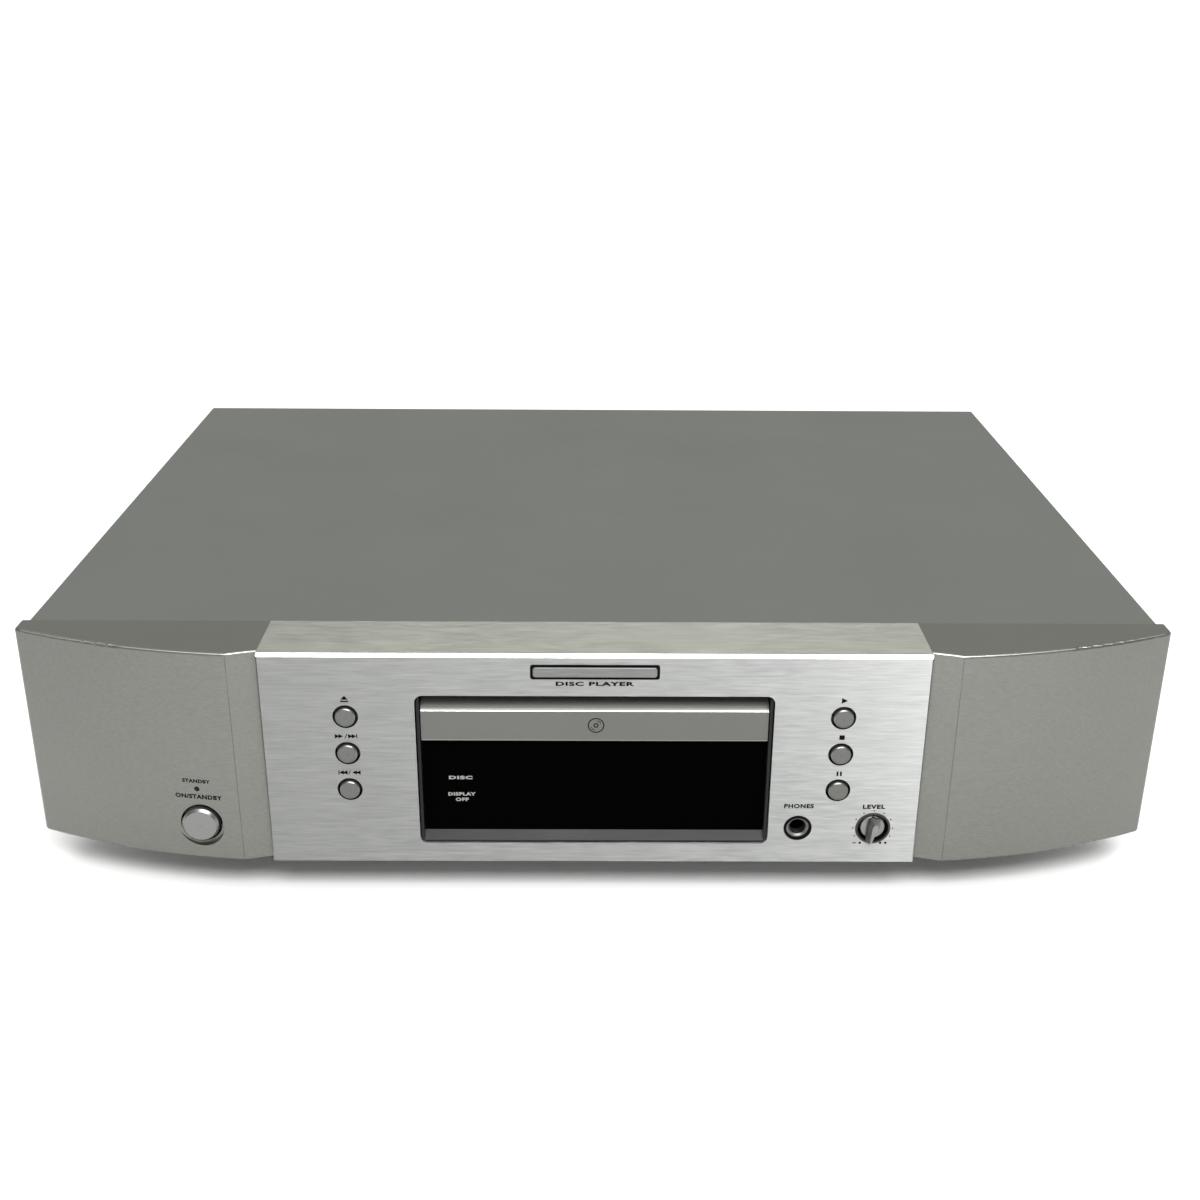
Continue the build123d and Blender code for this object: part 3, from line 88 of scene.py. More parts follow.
class Finish:
    """One procedural material, built up by small calls. Positions are object coordinates, in metres."""

    def __init__(self, name, colour, roughness, metallic=0.0, **constants):
        self.material = bpy.data.materials.new(name)
        self.material.use_nodes = True
        self.tree = self.material.node_tree
        self.shader = self.tree.nodes["Principled BSDF"]
        self.colour, self.roughness = colour, roughness
        self.shader.inputs["Base Color"].default_value = (*colour, 1)
        self.shader.inputs["Roughness"].default_value = roughness
        self.shader.inputs["Metallic"].default_value = metallic
        for key, value in constants.items():
            self.shader.inputs[key.replace("_", " ")].default_value = value
        self.position = self.tree.nodes.new("ShaderNodeTexCoord").outputs["Object"]
        self.colour_link = self.rough_link = self.height = None

    def node(self, kind, **settings):
        made = self.tree.nodes.new(kind)
        for key, value in settings.items():
            setattr(made, key, value)
        return made

    def link(self, source, target):
        self.tree.links.new(source, target)

    def scaled_position(self, per_metre):
        """The position times a number, or times one number for each axis, which makes grain."""
        scale = per_metre if isinstance(per_metre, tuple) else (per_metre,) * 3
        mapping = self.node("ShaderNodeMapping")
        mapping.inputs["Scale"].default_value = scale
        self.link(self.position, mapping.inputs["Vector"])
        return mapping.outputs["Vector"]

    def noise(self, per_metre, detail=3.0, contrast=1.0):
        """Noise from 0 to 1."""
        noise = self.node("ShaderNodeTexNoise")
        noise.inputs["Scale"].default_value = 1.0
        noise.inputs["Detail"].default_value = detail
        self.link(self.scaled_position(per_metre), noise.inputs["Vector"])
        spread = self.node("ShaderNodeMapRange")
        spread.inputs["From Min"].default_value = 0.5 - NOISE_SWING / contrast
        spread.inputs["From Max"].default_value = 0.5 + NOISE_SWING / contrast
        self.link(noise.outputs["Fac"], spread.inputs["Value"])
        return spread.outputs["Result"]

    def specks(self, per_metre, size):
        """Sparse round specks: 1 inside a speck, 0 elsewhere."""
        cells = self.node("ShaderNodeTexVoronoi")
        cells.inputs["Scale"].default_value = 1.0
        self.link(self.scaled_position(per_metre), cells.inputs["Vector"])
        inside = self.node("ShaderNodeMath", operation="LESS_THAN")
        inside.inputs[1].default_value = size
        self.link(cells.outputs["Distance"], inside.inputs[0])
        return inside.outputs["Value"]

    def mix_colour(self, factor, other, amount=1.0):
        """Turn towards another colour where the factor is high."""
        mix = self.node("ShaderNodeMix", data_type="RGBA")
        if amount != 1.0:
            scaled = self.node("ShaderNodeMath", operation="MULTIPLY")
            scaled.inputs[1].default_value = amount
            self.link(factor, scaled.inputs[0])
            factor = scaled.outputs["Value"]
        self.link(factor, mix.inputs["Factor"])
        if self.colour_link:
            self.link(self.colour_link, mix.inputs["A"])
        else:
            mix.inputs["A"].default_value = (*self.colour, 1)
        mix.inputs["B"].default_value = (*other, 1)
        self.colour_link = mix.outputs["Result"]
        return self

    def plus_scaled(self, start, factor, amount):
        """start + factor * amount, where start is a number or another node's output."""
        total = self.node("ShaderNodeMath", operation="MULTIPLY_ADD")
        total.inputs[1].default_value = amount
        self.link(factor, total.inputs[0])
        if isinstance(start, float):
            total.inputs[2].default_value = start
        else:
            self.link(start, total.inputs[2])
        return total.outputs["Value"]

    def vary_rough(self, factor, change):
        """Add up to this change to the roughness where the factor is high."""
        self.rough_link = self.plus_scaled(self.rough_link or self.roughness, factor, change)
        return self

    def raise_by(self, factor, height_mm):
        """Bump: the surface stands this much higher where the factor is 1."""
        self.height = self.plus_scaled(self.height or 0.0, factor, height_mm * MM)
        return self

    def done(self):
        if self.colour_link:
            self.link(self.colour_link, self.shader.inputs["Base Color"])
        if self.rough_link:
            self.link(self.rough_link, self.shader.inputs["Roughness"])
        if self.height:
            bump = self.node("ShaderNodeBump")
            bump.inputs["Strength"].default_value = 1.0
            bump.inputs["Distance"].default_value = 1.0
            self.link(self.height, bump.inputs["Height"])
            self.link(bump.outputs["Normal"], self.shader.inputs["Normal"])
        return self.material


HAIR_ACROSS, HAIR_ALONG = 1900.0, 105.0     # brushing marks: cells for each metre, across and along the grain
BAND_ACROSS, BAND_ALONG = 900.0, 45.0       # the same for the broader bands among them


def brushed(name, colour, grain_axis, roughness=0.34, spread=0.0):
    """Brushed anodised aluminium with its grain along one axis, which spreads reflections across it."""
    fine, broad = [HAIR_ACROSS] * 3, [BAND_ACROSS] * 3
    axis = "XYZ".index(grain_axis)
    fine[axis], broad[axis] = HAIR_ALONG, BAND_ALONG
    made = Finish(name, colour, roughness, metallic=1.0, Anisotropic=spread)
    hair, band, cloud = made.noise(tuple(fine), 4, 1.5), made.noise(tuple(broad), 2, 1.0), made.noise(9, 2)
    lighter, darker = times(colour, 1.38), times(colour, 0.70)
    made.mix_colour(hair, lighter, 0.75).mix_colour(band, darker, 0.28).mix_colour(cloud, lighter, 0.14)
    made.vary_rough(hair, 0.10).vary_rough(band, 0.03).vary_rough(cloud, 0.04)
    made.raise_by(hair, 0.0018).raise_by(band, 0.0008)
    if spread:
        across = made.node("ShaderNodeTangent", direction_type="RADIAL", axis=grain_axis)
        made.link(across.outputs["Tangent"], made.shader.inputs["Tangent"])
    return made.done()


def satin_paint(name, colour, roughness=0.42, metallic=0.35, flake=0.12, peel_mm=0.006, dust=0.0,
                hairline=0.0):
    """Sprayed satin paint: metallic flake, orange peel, faint clouding, and brushing or dust if asked for."""
    made = Finish(name, colour, roughness, metallic, Coat_Weight=0.05, Coat_Roughness=0.35)
    grain, peel, cloud = made.noise(3800, 2, 1.4), made.noise(950, 2, 1.0), made.noise(14, 3)
    made.mix_colour(grain, times(colour, 1.55), flake).mix_colour(cloud, times(colour, 0.88), 0.30)
    made.vary_rough(grain, 0.06).vary_rough(cloud, 0.07)
    made.raise_by(peel, peel_mm).raise_by(grain, peel_mm * 0.35)
    if hairline:
        made.mix_colour(made.noise((260, 2000, 2000), 4, 1.4), times(colour, 1.30), hairline)
    if dust:
        made.mix_colour(made.specks(95, 0.028), times(colour, 1.5), dust)
        made.mix_colour(made.specks(31, 0.012), (0.03, 0.03, 0.03), dust)
    return made.done()


def moulded(name, colour, roughness=0.45, grain_mm=0.01, per_metre=1500, **constants):
    """Spark-textured moulded plastic, a little shinier where it is handled."""
    made = Finish(name, colour, roughness, **constants)
    grain, cloud = made.noise(per_metre, 3, 1.3), made.noise(22, 3)
    made.mix_colour(grain, times(colour, 1.6), 0.35).mix_colour(cloud, times(colour, 0.8), 0.3)
    made.vary_rough(grain, 0.10).vary_rough(cloud, -0.06)
    made.raise_by(grain, grain_mm)
    return made.done()


def glossy(name, colour, roughness=0.08, dust_colour=0.01, **constants):
    """Polished plastic with faint wiping marks and a few specks of dust."""
    made = Finish(name, colour, roughness, **constants)
    wipe, dust = made.noise((60, 60, 900), 3), made.specks(140, 0.05)
    made.vary_rough(wipe, 0.05).vary_rough(made.noise(35, 3), 0.05)
    made.mix_colour(dust, tuple(c * 1.6 + dust_colour for c in colour), 0.35)
    made.raise_by(made.noise(180, 2), 0.004)
    return made.done()


def plain_metal(name, colour, roughness=0.3, spangle=0.0):
    """Plated or drawn metal: scratches, soft tarnish, and a zinc spangle if asked for."""
    made = Finish(name, colour, roughness, metallic=1.0)
    scratch, tarnish = made.noise((240, 2400, 700), 4, 1.5), made.noise(30, 4)
    made.mix_colour(tarnish, times(colour, 0.75), 0.5)
    made.vary_rough(scratch, 0.12).vary_rough(tarnish, 0.10).raise_by(scratch, 0.003)
    if spangle:
        made.mix_colour(made.noise(160, 1, 2.0), times(colour, 1.25), spangle)
    return made.done()


def circuit_board(name):
    """Green solder mask with copper tracks showing through it."""
    made = Finish(name, (0.012, 0.10, 0.035), 0.30)
    tracks = made.noise((420, 60, 420), 0, 4.0)
    made.mix_colour(tracks, (0.03, 0.20, 0.07), 0.8).mix_colour(made.noise(90, 2), (0.008, 0.07, 0.03), 0.4)
    made.vary_rough(made.noise(300, 2), 0.12).raise_by(tracks, 0.03)
    return made.done()


def windings(name):
    """Yellow tape over wound wire."""
    made = Finish(name, (0.46, 0.33, 0.05), 0.35)
    turns = made.noise((40, 40, 1700), 1, 2.5)
    made.mix_colour(turns, (0.30, 0.19, 0.03), 0.6).vary_rough(turns, 0.15).raise_by(turns, 0.05)
    return made.done()


def ink(name, colour, roughness=0.45, **constants):
    """Printing ink, slightly uneven."""
    made = Finish(name, colour, roughness, **constants)
    made.vary_rough(made.noise(1800, 2), 0.15)
    made.mix_colour(made.noise(900, 2), times(colour, 1.5), 0.3)
    return made.done()


# ---------------------------------------------------------------- finishes
PANEL = brushed("panel_brushed", (0.181, 0.185, 0.181), "X", 0.36, 0.80)
# Painted light: the lip's tint is lighter than the face's, for how the light falls on the panel's top.
PANEL_LIP_PAINTED_LIGHT = brushed("panel_lip_painted_light", (0.193, 0.198, 0.174), "X", 0.36, 0.75)
COVER = satin_paint("cover_paint", (0.091, 0.098, 0.084), 0.46, 0.40, dust=0.8)
WING = satin_paint("wing_paint", (0.146, 0.149, 0.136), 0.30, 0.94, peel_mm=0.0015, hairline=0.5)
# Painted shade: a darker copy of the wing paint for the line at each wing's crease.
CREASE_SHADE = satin_paint("wing_crease_shade", (0.100, 0.102, 0.093), 0.34, 0.90, peel_mm=0.001)
# Painted shade: a darker copy of the wing paint for the wings' tops.
WING_TOP_PAINTED_SHADE = satin_paint("wing_top_painted_shade", (0.090, 0.092, 0.076), 0.42, 0.60)
DOOR = satin_paint("door_paint", (0.114, 0.115, 0.106), 0.32, 0.85)
KEY = satin_paint("key_paint", (0.108, 0.110, 0.103), 0.32, 0.75)
POWER_KEY = satin_paint("power_key_paint", (0.181, 0.184, 0.180), 0.32, 0.75)
# Painted highlight: a bright finish for the highlight lines on the panel's top bevel and the door's bevel.
POLISHED_HIGHLIGHT = satin_paint("polished_edge_highlight", (0.62, 0.63, 0.62), 0.22, 1.0, flake=0.05, peel_mm=0.001)
# Painted highlight: a bright copy of the wing paint for the line along the wings' top front edges.
WING_EDGE_HIGHLIGHT = satin_paint("wing_edge_highlight", (0.38, 0.385, 0.37), 0.30, 0.95, flake=0.05, peel_mm=0.002)
# Painted highlight: a lighter finish for the door's foot and the keys' rims.
SOFT_HIGHLIGHT = satin_paint("soft_edge_highlight", (0.20, 0.203, 0.197), 0.26, 1.0, flake=0.05, peel_mm=0.001)
REAR = satin_paint("rear_paint", (0.030, 0.030, 0.032), 0.50, 0.0, flake=0.05)
BEZEL = glossy("bezel_gloss", (0.010, 0.0103, 0.011), 0.24, 0.004, Specular_IOR_Level=0.12)
WINDOW = glossy("window_gloss", (0.0008, 0.0008, 0.0008), 0.05, 0.002, Specular_IOR_Level=0.0)
LAMP = glossy("lamp_lens", (0.003, 0.001, 0.001), 0.12, 0.002, Specular_IOR_Level=0.15)
BLACK = moulded("black_plastic", (0.016, 0.016, 0.017))
# Painted shade: a dull black, darker than black plastic, for the walls of the panel's small holes, the rim
# round the nameplate and the black parts seen through the gaps round keys, jack and knob.
GAP_SHADE = moulded("gap_shade_black", (0.003, 0.003, 0.003), 0.6, Specular_IOR_Level=0.04)
FOOT = moulded("foot_plastic", (0.022, 0.022, 0.023), 0.5, 0.02)
PAD = moulded("pad_felt", (0.03, 0.03, 0.03), 0.9, 0.05, 2600)
TRAY = moulded("tray_plastic", (0.020, 0.020, 0.021), 0.42, 0.008)
GEAR = moulded("gear_acetal", (0.62, 0.61, 0.56), 0.35, 0.004)
RUBBER = moulded("belt_rubber", (0.014, 0.014, 0.014), 0.75, 0.01)
ZINC = plain_metal("zinc_sheet", (0.52, 0.53, 0.53), 0.34, spangle=0.5)
SCREW = plain_metal("black_screws", (0.07, 0.07, 0.07), 0.35)
JACK = plain_metal("jack_plating", (0.70, 0.62, 0.42), 0.22)
RING = plain_metal("jack_ring", (0.15, 0.15, 0.145), 0.36)
COLLAR = plain_metal("knob_collar_metal", (0.050, 0.050, 0.048), 0.34)
KNOB = brushed("knob_satin", (0.17, 0.17, 0.165), "Z", 0.3, 0.5)
PLATE = brushed("plate_satin", (0.150, 0.153, 0.150), "X", 0.32, 0.6)
SINK = plain_metal("sink_black", (0.03, 0.03, 0.03), 0.45)
CAST = plain_metal("pickup_cast", (0.30, 0.30, 0.31), 0.45)
MOTOR = plain_metal("motor_can", (0.50, 0.50, 0.50), 0.28)
CORE = plain_metal("core_varnish", (0.12, 0.10, 0.08), 0.4)
BOARD = circuit_board("circuit_board")
WINDING = windings("winding_tape")
SLEEVE = glossy("capacitor_sleeve", (0.012, 0.012, 0.03), 0.25)
TUBE = glossy("tube_glass", (0.02, 0.03, 0.03), 0.06)
WHITE_RING = moulded("ring_white", (0.62, 0.61, 0.58), 0.4, 0.004)
RED_RING = moulded("ring_red", (0.42, 0.02, 0.02), 0.4, 0.004)
ORANGE_RING = moulded("ring_orange", (0.60, 0.18, 0.02), 0.4, 0.004)
INK = ink("legend_ink", (0.002, 0.002, 0.002), 0.7, Specular_IOR_Level=0.05)
PALE_INK = ink("window_ink", (0.22, 0.22, 0.21))

KEY_NODES = ["open_button", "next_button", "previous_button", "play_button", "stop_button", "pause_button"]
WING_NODES = ["left_wing", "right_wing"]
NODE_FINISH = [
    (ZINC, ["chassis_base", "front_plate", "clamp_bridge", "traverse_deck"]),
    (COVER, ["top_cover"]),
    (REAR, ["rear_panel"]),
    (SCREW, ["cover_screws", "foot_screws", "board_standoffs"]),
    (JACK, ["phono_shells", "inlet_pins"]),
    (BLACK, ["phono_insulators", "optical_socket", "mains_inlet", "drive_frame", "clamp_puck", "turntable"]),
    # Painted shade: these black parts behind the holes get the dull shade black, darker than their plastic.
    (GAP_SHADE, ["headphone_jack", "key_switches", "level_control"]),
    (FOOT, ["feet"]),
    (PAD, ["foot_pads"]),
    (PANEL, ["centre_panel"]),
    (WING, WING_NODES),
    (BEZEL, ["window_bezel"]),
    (WINDOW, ["display_window"]),
    (TUBE, ["display_tube"]),
    (BOARD, ["display_board", "left_key_board", "right_key_board", "power_key_board", "main_circuit_board",
             "power_supply_board"]),
    (LAMP, ["standby_light"]),
    (KEY, KEY_NODES),
    (POWER_KEY, ["power_button"]),
    (RING, ["headphone_ring"]),
    (KNOB, ["level_knob"]),
    (CORE, ["transformer_core"]),
    (WINDING, ["transformer_winding"]),
    (SLEEVE, ["filter_capacitors"]),
    (SINK, ["heat_sink"]),
    (MOTOR, ["loading_motor", "spindle_motor", "sled_motor"]),
    (GEAR, ["motor_pulley", "pulley_gear", "drive_gear", "cam_slider", "sled_gear"]),
    (RUBBER, ["drive_belt"]),
    (TRAY, ["disc_tray"]),
    (DOOR, ["tray_door"]),
    (CAST, ["optical_pickup"]),
]
SMOOTH_BELOW = math.radians(28)


def dress(node_name, material):
    """Give a CAD node its finish, smooth across its round faces."""
    mesh = nodes[node_name].data
    mesh.materials.clear()
    mesh.materials.append(material)
    mesh.shade_smooth()
    mesh.set_sharp_from_angle(angle=SMOOTH_BELOW)


for material, names in NODE_FINISH:
    for node_name in names:
        dress(node_name, material)


def refinish(node_names, material, is_chosen):
    """Another finish on the faces of some CAD nodes that a test chooses, from their centre and normal."""
    for node_name in node_names:
        mesh = nodes[node_name].data
        mesh.materials.append(material)
        for face in mesh.polygons:
            if is_chosen(face.center, face.normal):
                face.material_index = len(mesh.materials) - 1


TOP_Z = cad_high.z
LIP_DEPTH, BEVEL_DEPTH = 6 * MM, 2 * MM


def is_top(centre, normal):
    """The upward faces along the top of the front."""
    return normal.z > 0.5 and centre.z > TOP_Z - LIP_DEPTH


def is_top_bevel(centre, normal):
    """The faces at the front's top edge that look up and forward at the same time."""
    return normal.y < -0.4 and normal.z > 0.4 and centre.z > TOP_Z - BEVEL_DEPTH


def is_foot_bevel(_centre, normal):
    """Faces that look down and forward at the same time."""
    return normal.y < -0.3 and normal.z < -0.3


def is_rim(_centre, normal):
    """The sloped rim round a key's face."""
    return -0.9 < normal.y < -0.4


# Painted light: a lighter tint on the panel's lip.
refinish(["centre_panel"], PANEL_LIP_PAINTED_LIGHT, is_top)
# Painted shade: a darker tint on the wings' tops.
refinish(WING_NODES, WING_TOP_PAINTED_SHADE, is_top)
# Painted highlight: a bright finish on the panel's top bevel.
refinish(["centre_panel"], POLISHED_HIGHLIGHT, is_top_bevel)
# Painted highlights: a lighter finish on the door's lower bevel and on the keys' rims.
refinish(["tray_door"], SOFT_HIGHLIGHT, is_foot_bevel)
refinish(KEY_NODES + ["power_button"], SOFT_HIGHLIGHT, is_rim)

# The phono sockets' insulators, told apart by where they are: from x to x, in millimetres.
SOCKET_RINGS = [(RED_RING, 165, 181), (WHITE_RING, 181, 199), (ORANGE_RING, 85, 105)]
for finish, low_x, high_x in SOCKET_RINGS:
    refinish(["phono_insulators"], finish, lambda centre, _normal: low_x * MM < centre.x < high_x * MM)

# Painted shade: the walls of the small holes in the front are painted black. The radii, in millimetres, take
# in the whole wall.
KEY_HOLE_R, JACK_HOLE_R, KNOB_HOLE_R = 4.8, 5.5, 6.1
HOLE_WALLS = [(name, KEY_HOLE_R) for name in KEY_NODES]
HOLE_WALLS += [("headphone_jack", JACK_HOLE_R), ("level_control", KNOB_HOLE_R)]


def centre_of(name):
    low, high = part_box(name)
    return (low + high) / 2


for hole_name, radius in HOLE_WALLS:
    middle = centre_of(hole_name)
    refinish(["centre_panel"], GAP_SHADE,
             lambda centre, _normal: math.hypot(centre.x - middle.x, centre.z - middle.z) < radius * MM)

# ---------------------------------------------------------------- small geometry helpers
FACE_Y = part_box("centre_panel")[0].y
PRINT_T = 0.04 * MM                         # how thick a printed shape is
LETTER_GAP, LETTER_BOLD = 1.12, 0.044       # letter spacing, and how much bolder than the typeface


def surface_y(node_name):
    """A function giving the y of a node's front surface, at (x, z)."""
    mesh = nodes[node_name].data
    tree = BVHTree.FromPolygons([v.co for v in mesh.vertices], [p.vertices for p in mesh.polygons])

    def find(x, z):
        return tree.ray_cast(Vector((x, -1, z)), Vector((0, 1, 0)))[0].y
    return find


def add_mesh(name, mesh, material, body):
    """Put a finished mesh into the scene as a piece that rides on a body."""
    mesh.materials.clear()
    mesh.materials.append(material)
    piece = bpy.data.objects.new(name, mesh)
    bpy.context.scene.collection.objects.link(piece)
    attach(piece, body)


def add_piece(name, vertices, faces, material, body):
    mesh = bpy.data.meshes.new(name)
    mesh.from_pydata(vertices, [], faces)
    mesh.validate()
    add_mesh(name, mesh, material, body)


def join_rings(count, rings, closed=False):
    """Quads between rings of count points in a row, and from the last ring to the first if closed."""
    faces = []
    for level in range(rings if closed else rings - 1):
        low, high = level * count, (level + 1) % rings * count
        faces += [(low + k, low + (k + 1) % count, high + (k + 1) % count, high + k) for k in range(count)]
    return faces


def end_caps(count, rings):
    """The faces that close the first ring and the last one."""
    return [tuple(reversed(range(count))), tuple(range((rings - 1) * count, rings * count))]


def prism(outline, x, z, y_at):
    """Vertices and faces of a flat closed shape standing on the surface, facing the front."""
    front = [(x + u, y_at(x + u, z + v) - PRINT_T, z + v) for u, v in outline]
    back = [(px, py + PRINT_T, pz) for px, py, pz in front]
    n = len(outline)
    faces = [tuple(range(n)), tuple(reversed(range(n, 2 * n)))]
    faces += [(k, k + n, (k + 1) % n + n, (k + 1) % n) for k in range(n)]
    return front + back, faces


def print_shapes(name, outlines, x, z, y_at, material, body, slot):
    """Several flat shapes as one printed piece. Outlines are in millimetres, x and z in metres."""
    vertices, faces = [], []
    for outline in outlines:
        v, f = prism([(u * MM, w * MM) for u, w in outline], x, z, y_at)
        faces += [tuple(i + len(vertices) for i in face) for face in f]
        vertices += v
    add_piece(name, vertices, faces, material, body)


def print_words(name, words, width_mm, height_mm, x, z, y_at, material, body, slot):
    """A word in the built-in plain typeface, stretched to a width and a height, lying on the surface."""
    data = bpy.data.curves.new(name, "FONT")
    data.body, data.size = words, 1.0
    data.space_character = LETTER_GAP
    data.resolution_u = 3
    data.extrude, data.offset = 0.01, LETTER_BOLD
    source = bpy.data.objects.new(name + "_source", data)
    bpy.context.scene.collection.objects.link(source)
    bpy.context.view_layer.update()
    mesh = bpy.data.meshes.new_from_object(source.evaluated_get(bpy.context.evaluated_depsgraph_get()))
    bpy.data.objects.remove(source)
    us, vs = [v.co.x for v in mesh.vertices], [v.co.y for v in mesh.vertices]
    wide, tall = width_mm * MM / (max(us) - min(us)), height_mm * MM / (max(vs) - min(vs))
    mid_u, mid_v = (max(us) + min(us)) / 2, (max(vs) + min(vs)) / 2
    for v in mesh.vertices:
        px, pz = x + (v.co.x - mid_u) * wide, z + (v.co.y - mid_v) * tall
        v.co = Vector((px, y_at(px, pz) - (PRINT_T if v.co.z > 0 else 0.0), pz))
    add_mesh(name, mesh, material, body)


# Outlines in millimetres, as (right, up) points.
def circle(radius, x=0.0, z=0.0, count=32):
    return [(x + radius * math.cos(2 * math.pi * k / count), z + radius * math.sin(2 * math.pi * k / count))
            for k in range(count)]


def ring(outer, inner, count=40, start=0.0, sweep=360.0):
    """A ring or an arc of one, as quads."""
    shapes = []
    for k in range(count):
        a, b = (math.radians(start + sweep * i / count) for i in (k, k + 1))
        shapes.append([(r * math.cos(t), r * math.sin(t))
                       for r, t in ((outer, a), (outer, b), (inner, b), (inner, a))])
    return shapes


def bar(width, height, x=0.0, z=0.0):
    w, h = width / 2, height / 2
    return [(x - w, z - h), (x + w, z - h), (x + w, z + h), (x - w, z + h)]


def pointer(size, x=0.0, way=1):
    """A triangle pointing right, or left for way -1."""
    return [(x - way * size / 2, -size * 0.5), (x + way * size / 2, 0.0), (x - way * size / 2, size * 0.5)]


def rounded_bar(width, height, radius, steps=8):
    """A bar's outline with round corners, anticlockwise."""
    outline = []
    for side_x, side_z, start in ((1, -1, 270), (1, 1, 0), (-1, 1, 90), (-1, -1, 180)):
        for k in range(steps + 1):
            a = math.radians(start + 90 * k / steps)
            outline.append((side_x * (width / 2 - radius) + radius * math.cos(a),
                            side_z * (height / 2 - radius) + radius * math.sin(a)))
    return outline


# ---------------------------------------------------------------- printed legends
wing_y, window_y, door_y = surface_y("left_wing"), surface_y("display_window"), surface_y("tray_door")


def flat_face(_x, _z):
    return FACE_Y


# Surface, ink, body and slot of the prints on each surface.
ON_PANEL = (flat_face, INK, "case", "panel_aluminium")
ON_WING = (wing_y, INK, "case", "wing_paint")
ON_WINDOW = (window_y, PALE_INK, "case", "window_gloss")

LEGEND_UP = 7.2 * MM    # from a key's middle to its symbol
TRACK_W = 1.8           # the track keys' arrows
KEY_SYMBOLS = {
    "open_button": [[(-1.4, -0.1), (1.4, -0.1), (0, 1.45)], bar(3.0, 0.55, 0, -0.8)],
    "next_button": [pointer(TRACK_W, -3.5), pointer(TRACK_W, -2.15),
                    [(-0.85, -0.9), (-0.5, -0.9), (0.35, 0.9), (0, 0.9)],
                    pointer(TRACK_W, 1.45), pointer(TRACK_W, 2.8), bar(0.35, TRACK_W, 3.8)],
    "previous_button": [bar(0.35, TRACK_W, -3.8), pointer(TRACK_W, -2.8, -1), pointer(TRACK_W, -1.45, -1),
                        [(-0.4, -0.9), (-0.05, -0.9), (0.8, 0.9), (0.45, 0.9)],
                        pointer(TRACK_W, 2.1, -1), pointer(TRACK_W, 3.5, -1)],
    "play_button": [pointer(2.3)],
    "stop_button": [bar(2.0, 1.9)],
    "pause_button": [bar(0.7, 1.9, -0.65), bar(0.7, 1.9, 0.65)],
}
for button, shapes in KEY_SYMBOLS.items():
    place = centre_of(button)
    print_shapes(button.replace("button", "symbol"), shapes, place.x, place.z + LEGEND_UP, *ON_PANEL)

jack_place, knob_place, lamp_place = (centre_of(name) for name in
                                      ("headphone_jack", "level_control", "standby_light"))
print_words("phones_legend", "PHONES", 11.4, 1.9, jack_place.x, jack_place.z + 9.7 * MM, *ON_PANEL)
print_words("level_legend", "LEVEL", 8.6, 1.9, knob_place.x - 0.2 * MM, knob_place.z + 9.5 * MM, *ON_PANEL)

# The level scale: dots round the knob, and small marks in a row below it.
DOT_RING, DOT_ANGLES = 7.7, (-117, -90, -60, -30, 0, 30, 60, 90, 117)
SCALE_DOWN, SCALE_DOTS, SCALE_DASH = -6.6, (-4.5, 3.4, 5.4), -6.7
scale_marks = [circle(0.28, DOT_RING * math.sin(math.radians(a)), DOT_RING * math.cos(math.radians(a)), 12)
               for a in DOT_ANGLES]
scale_marks += [circle(0.5, x, SCALE_DOWN, 16) for x in SCALE_DOTS]
scale_marks.append(bar(1.4, 0.35, SCALE_DASH, SCALE_DOWN))
print_shapes("level_scale", scale_marks, knob_place.x, knob_place.z, *ON_PANEL)

print_words("standby_legend", "STANDBY", 10.9, 1.6, lamp_place.x, lamp_place.z + 3.4 * MM, *ON_WING)
print_words("power_legend", "ON/STANDBY", 18.4, 1.9, lamp_place.x + 0.3 * MM, lamp_place.z - 3.4 * MM,
            *ON_WING)
print_words("player_legend", "DISC PLAYER", 29.0, 1.7, 0, 92.7 * MM, *ON_PANEL)
print_words("disc_legend", "DISC", 9.0, 1.5, -51 * MM, 51.0 * MM, *ON_WINDOW)
print_words("display_legend", "DISPLAY", 10.5, 1.5, -50.7 * MM, 43.8 * MM, *ON_WINDOW)
print_words("off_legend", "OFF", 5.0, 1.5, -50.7 * MM, 41.4 * MM, *ON_WINDOW)

# ---------------------------------------------------------------- the door's icon and painted highlight lines
ICON_Z = 74.6 * MM
LINE_W = 130.0          # the bright lines
DOOR_BEVEL_Z, DOOR_FOOT_Z = 80.58 * MM, 68.38 * MM


def door_face_y(_x, _z):
    return door_y(0.0, ICON_Z)


disc_icon = ring(3.1, 2.7) + ring(0.95, 0.55, count=20)
disc_icon += ring(2.1, 1.85, start=20, sweep=60, count=10) + ring(2.1, 1.85, start=200, sweep=60, count=10)
print_shapes("door_emblem", disc_icon, 0.5 * MM, ICON_Z, door_face_y, INK, "tray", "door_paint")
# Painted highlights: bright strips on the door's bevel and along the foot of its face.
print_shapes("door_highlight", [bar(LINE_W, 0.28)], 0, DOOR_BEVEL_Z, door_y, POLISHED_HIGHLIGHT, "tray", "door_paint")
print_shapes("door_foot_highlight", [bar(LINE_W, 0.35)], 0, DOOR_FOOT_Z, door_face_y, SOFT_HIGHLIGHT, "tray",
             "door_paint")

# ---------------------------------------------------------------- collar, wing lines of painted highlight and shade, and nameplate
def collar(name, place, outer, inner, proud, material):
    """A plain raised ring around a hole in the panel. Sizes in millimetres."""
    count, chamfer, vertices = 64, 0.2, []
    section = ((outer, 0.0), (outer, proud * 0.6), (outer - chamfer, proud), (inner, proud), (inner, 0.0))
    for radius, out in section:
        for k in range(count):
            a = 2 * math.pi * k / count
            vertices.append((place.x + radius * MM * math.cos(a), FACE_Y - out * MM,
                             place.z + radius * MM * math.sin(a)))
    faces = join_rings(count, len(section), closed=True)
    add_piece(name, vertices, faces, material, "case")


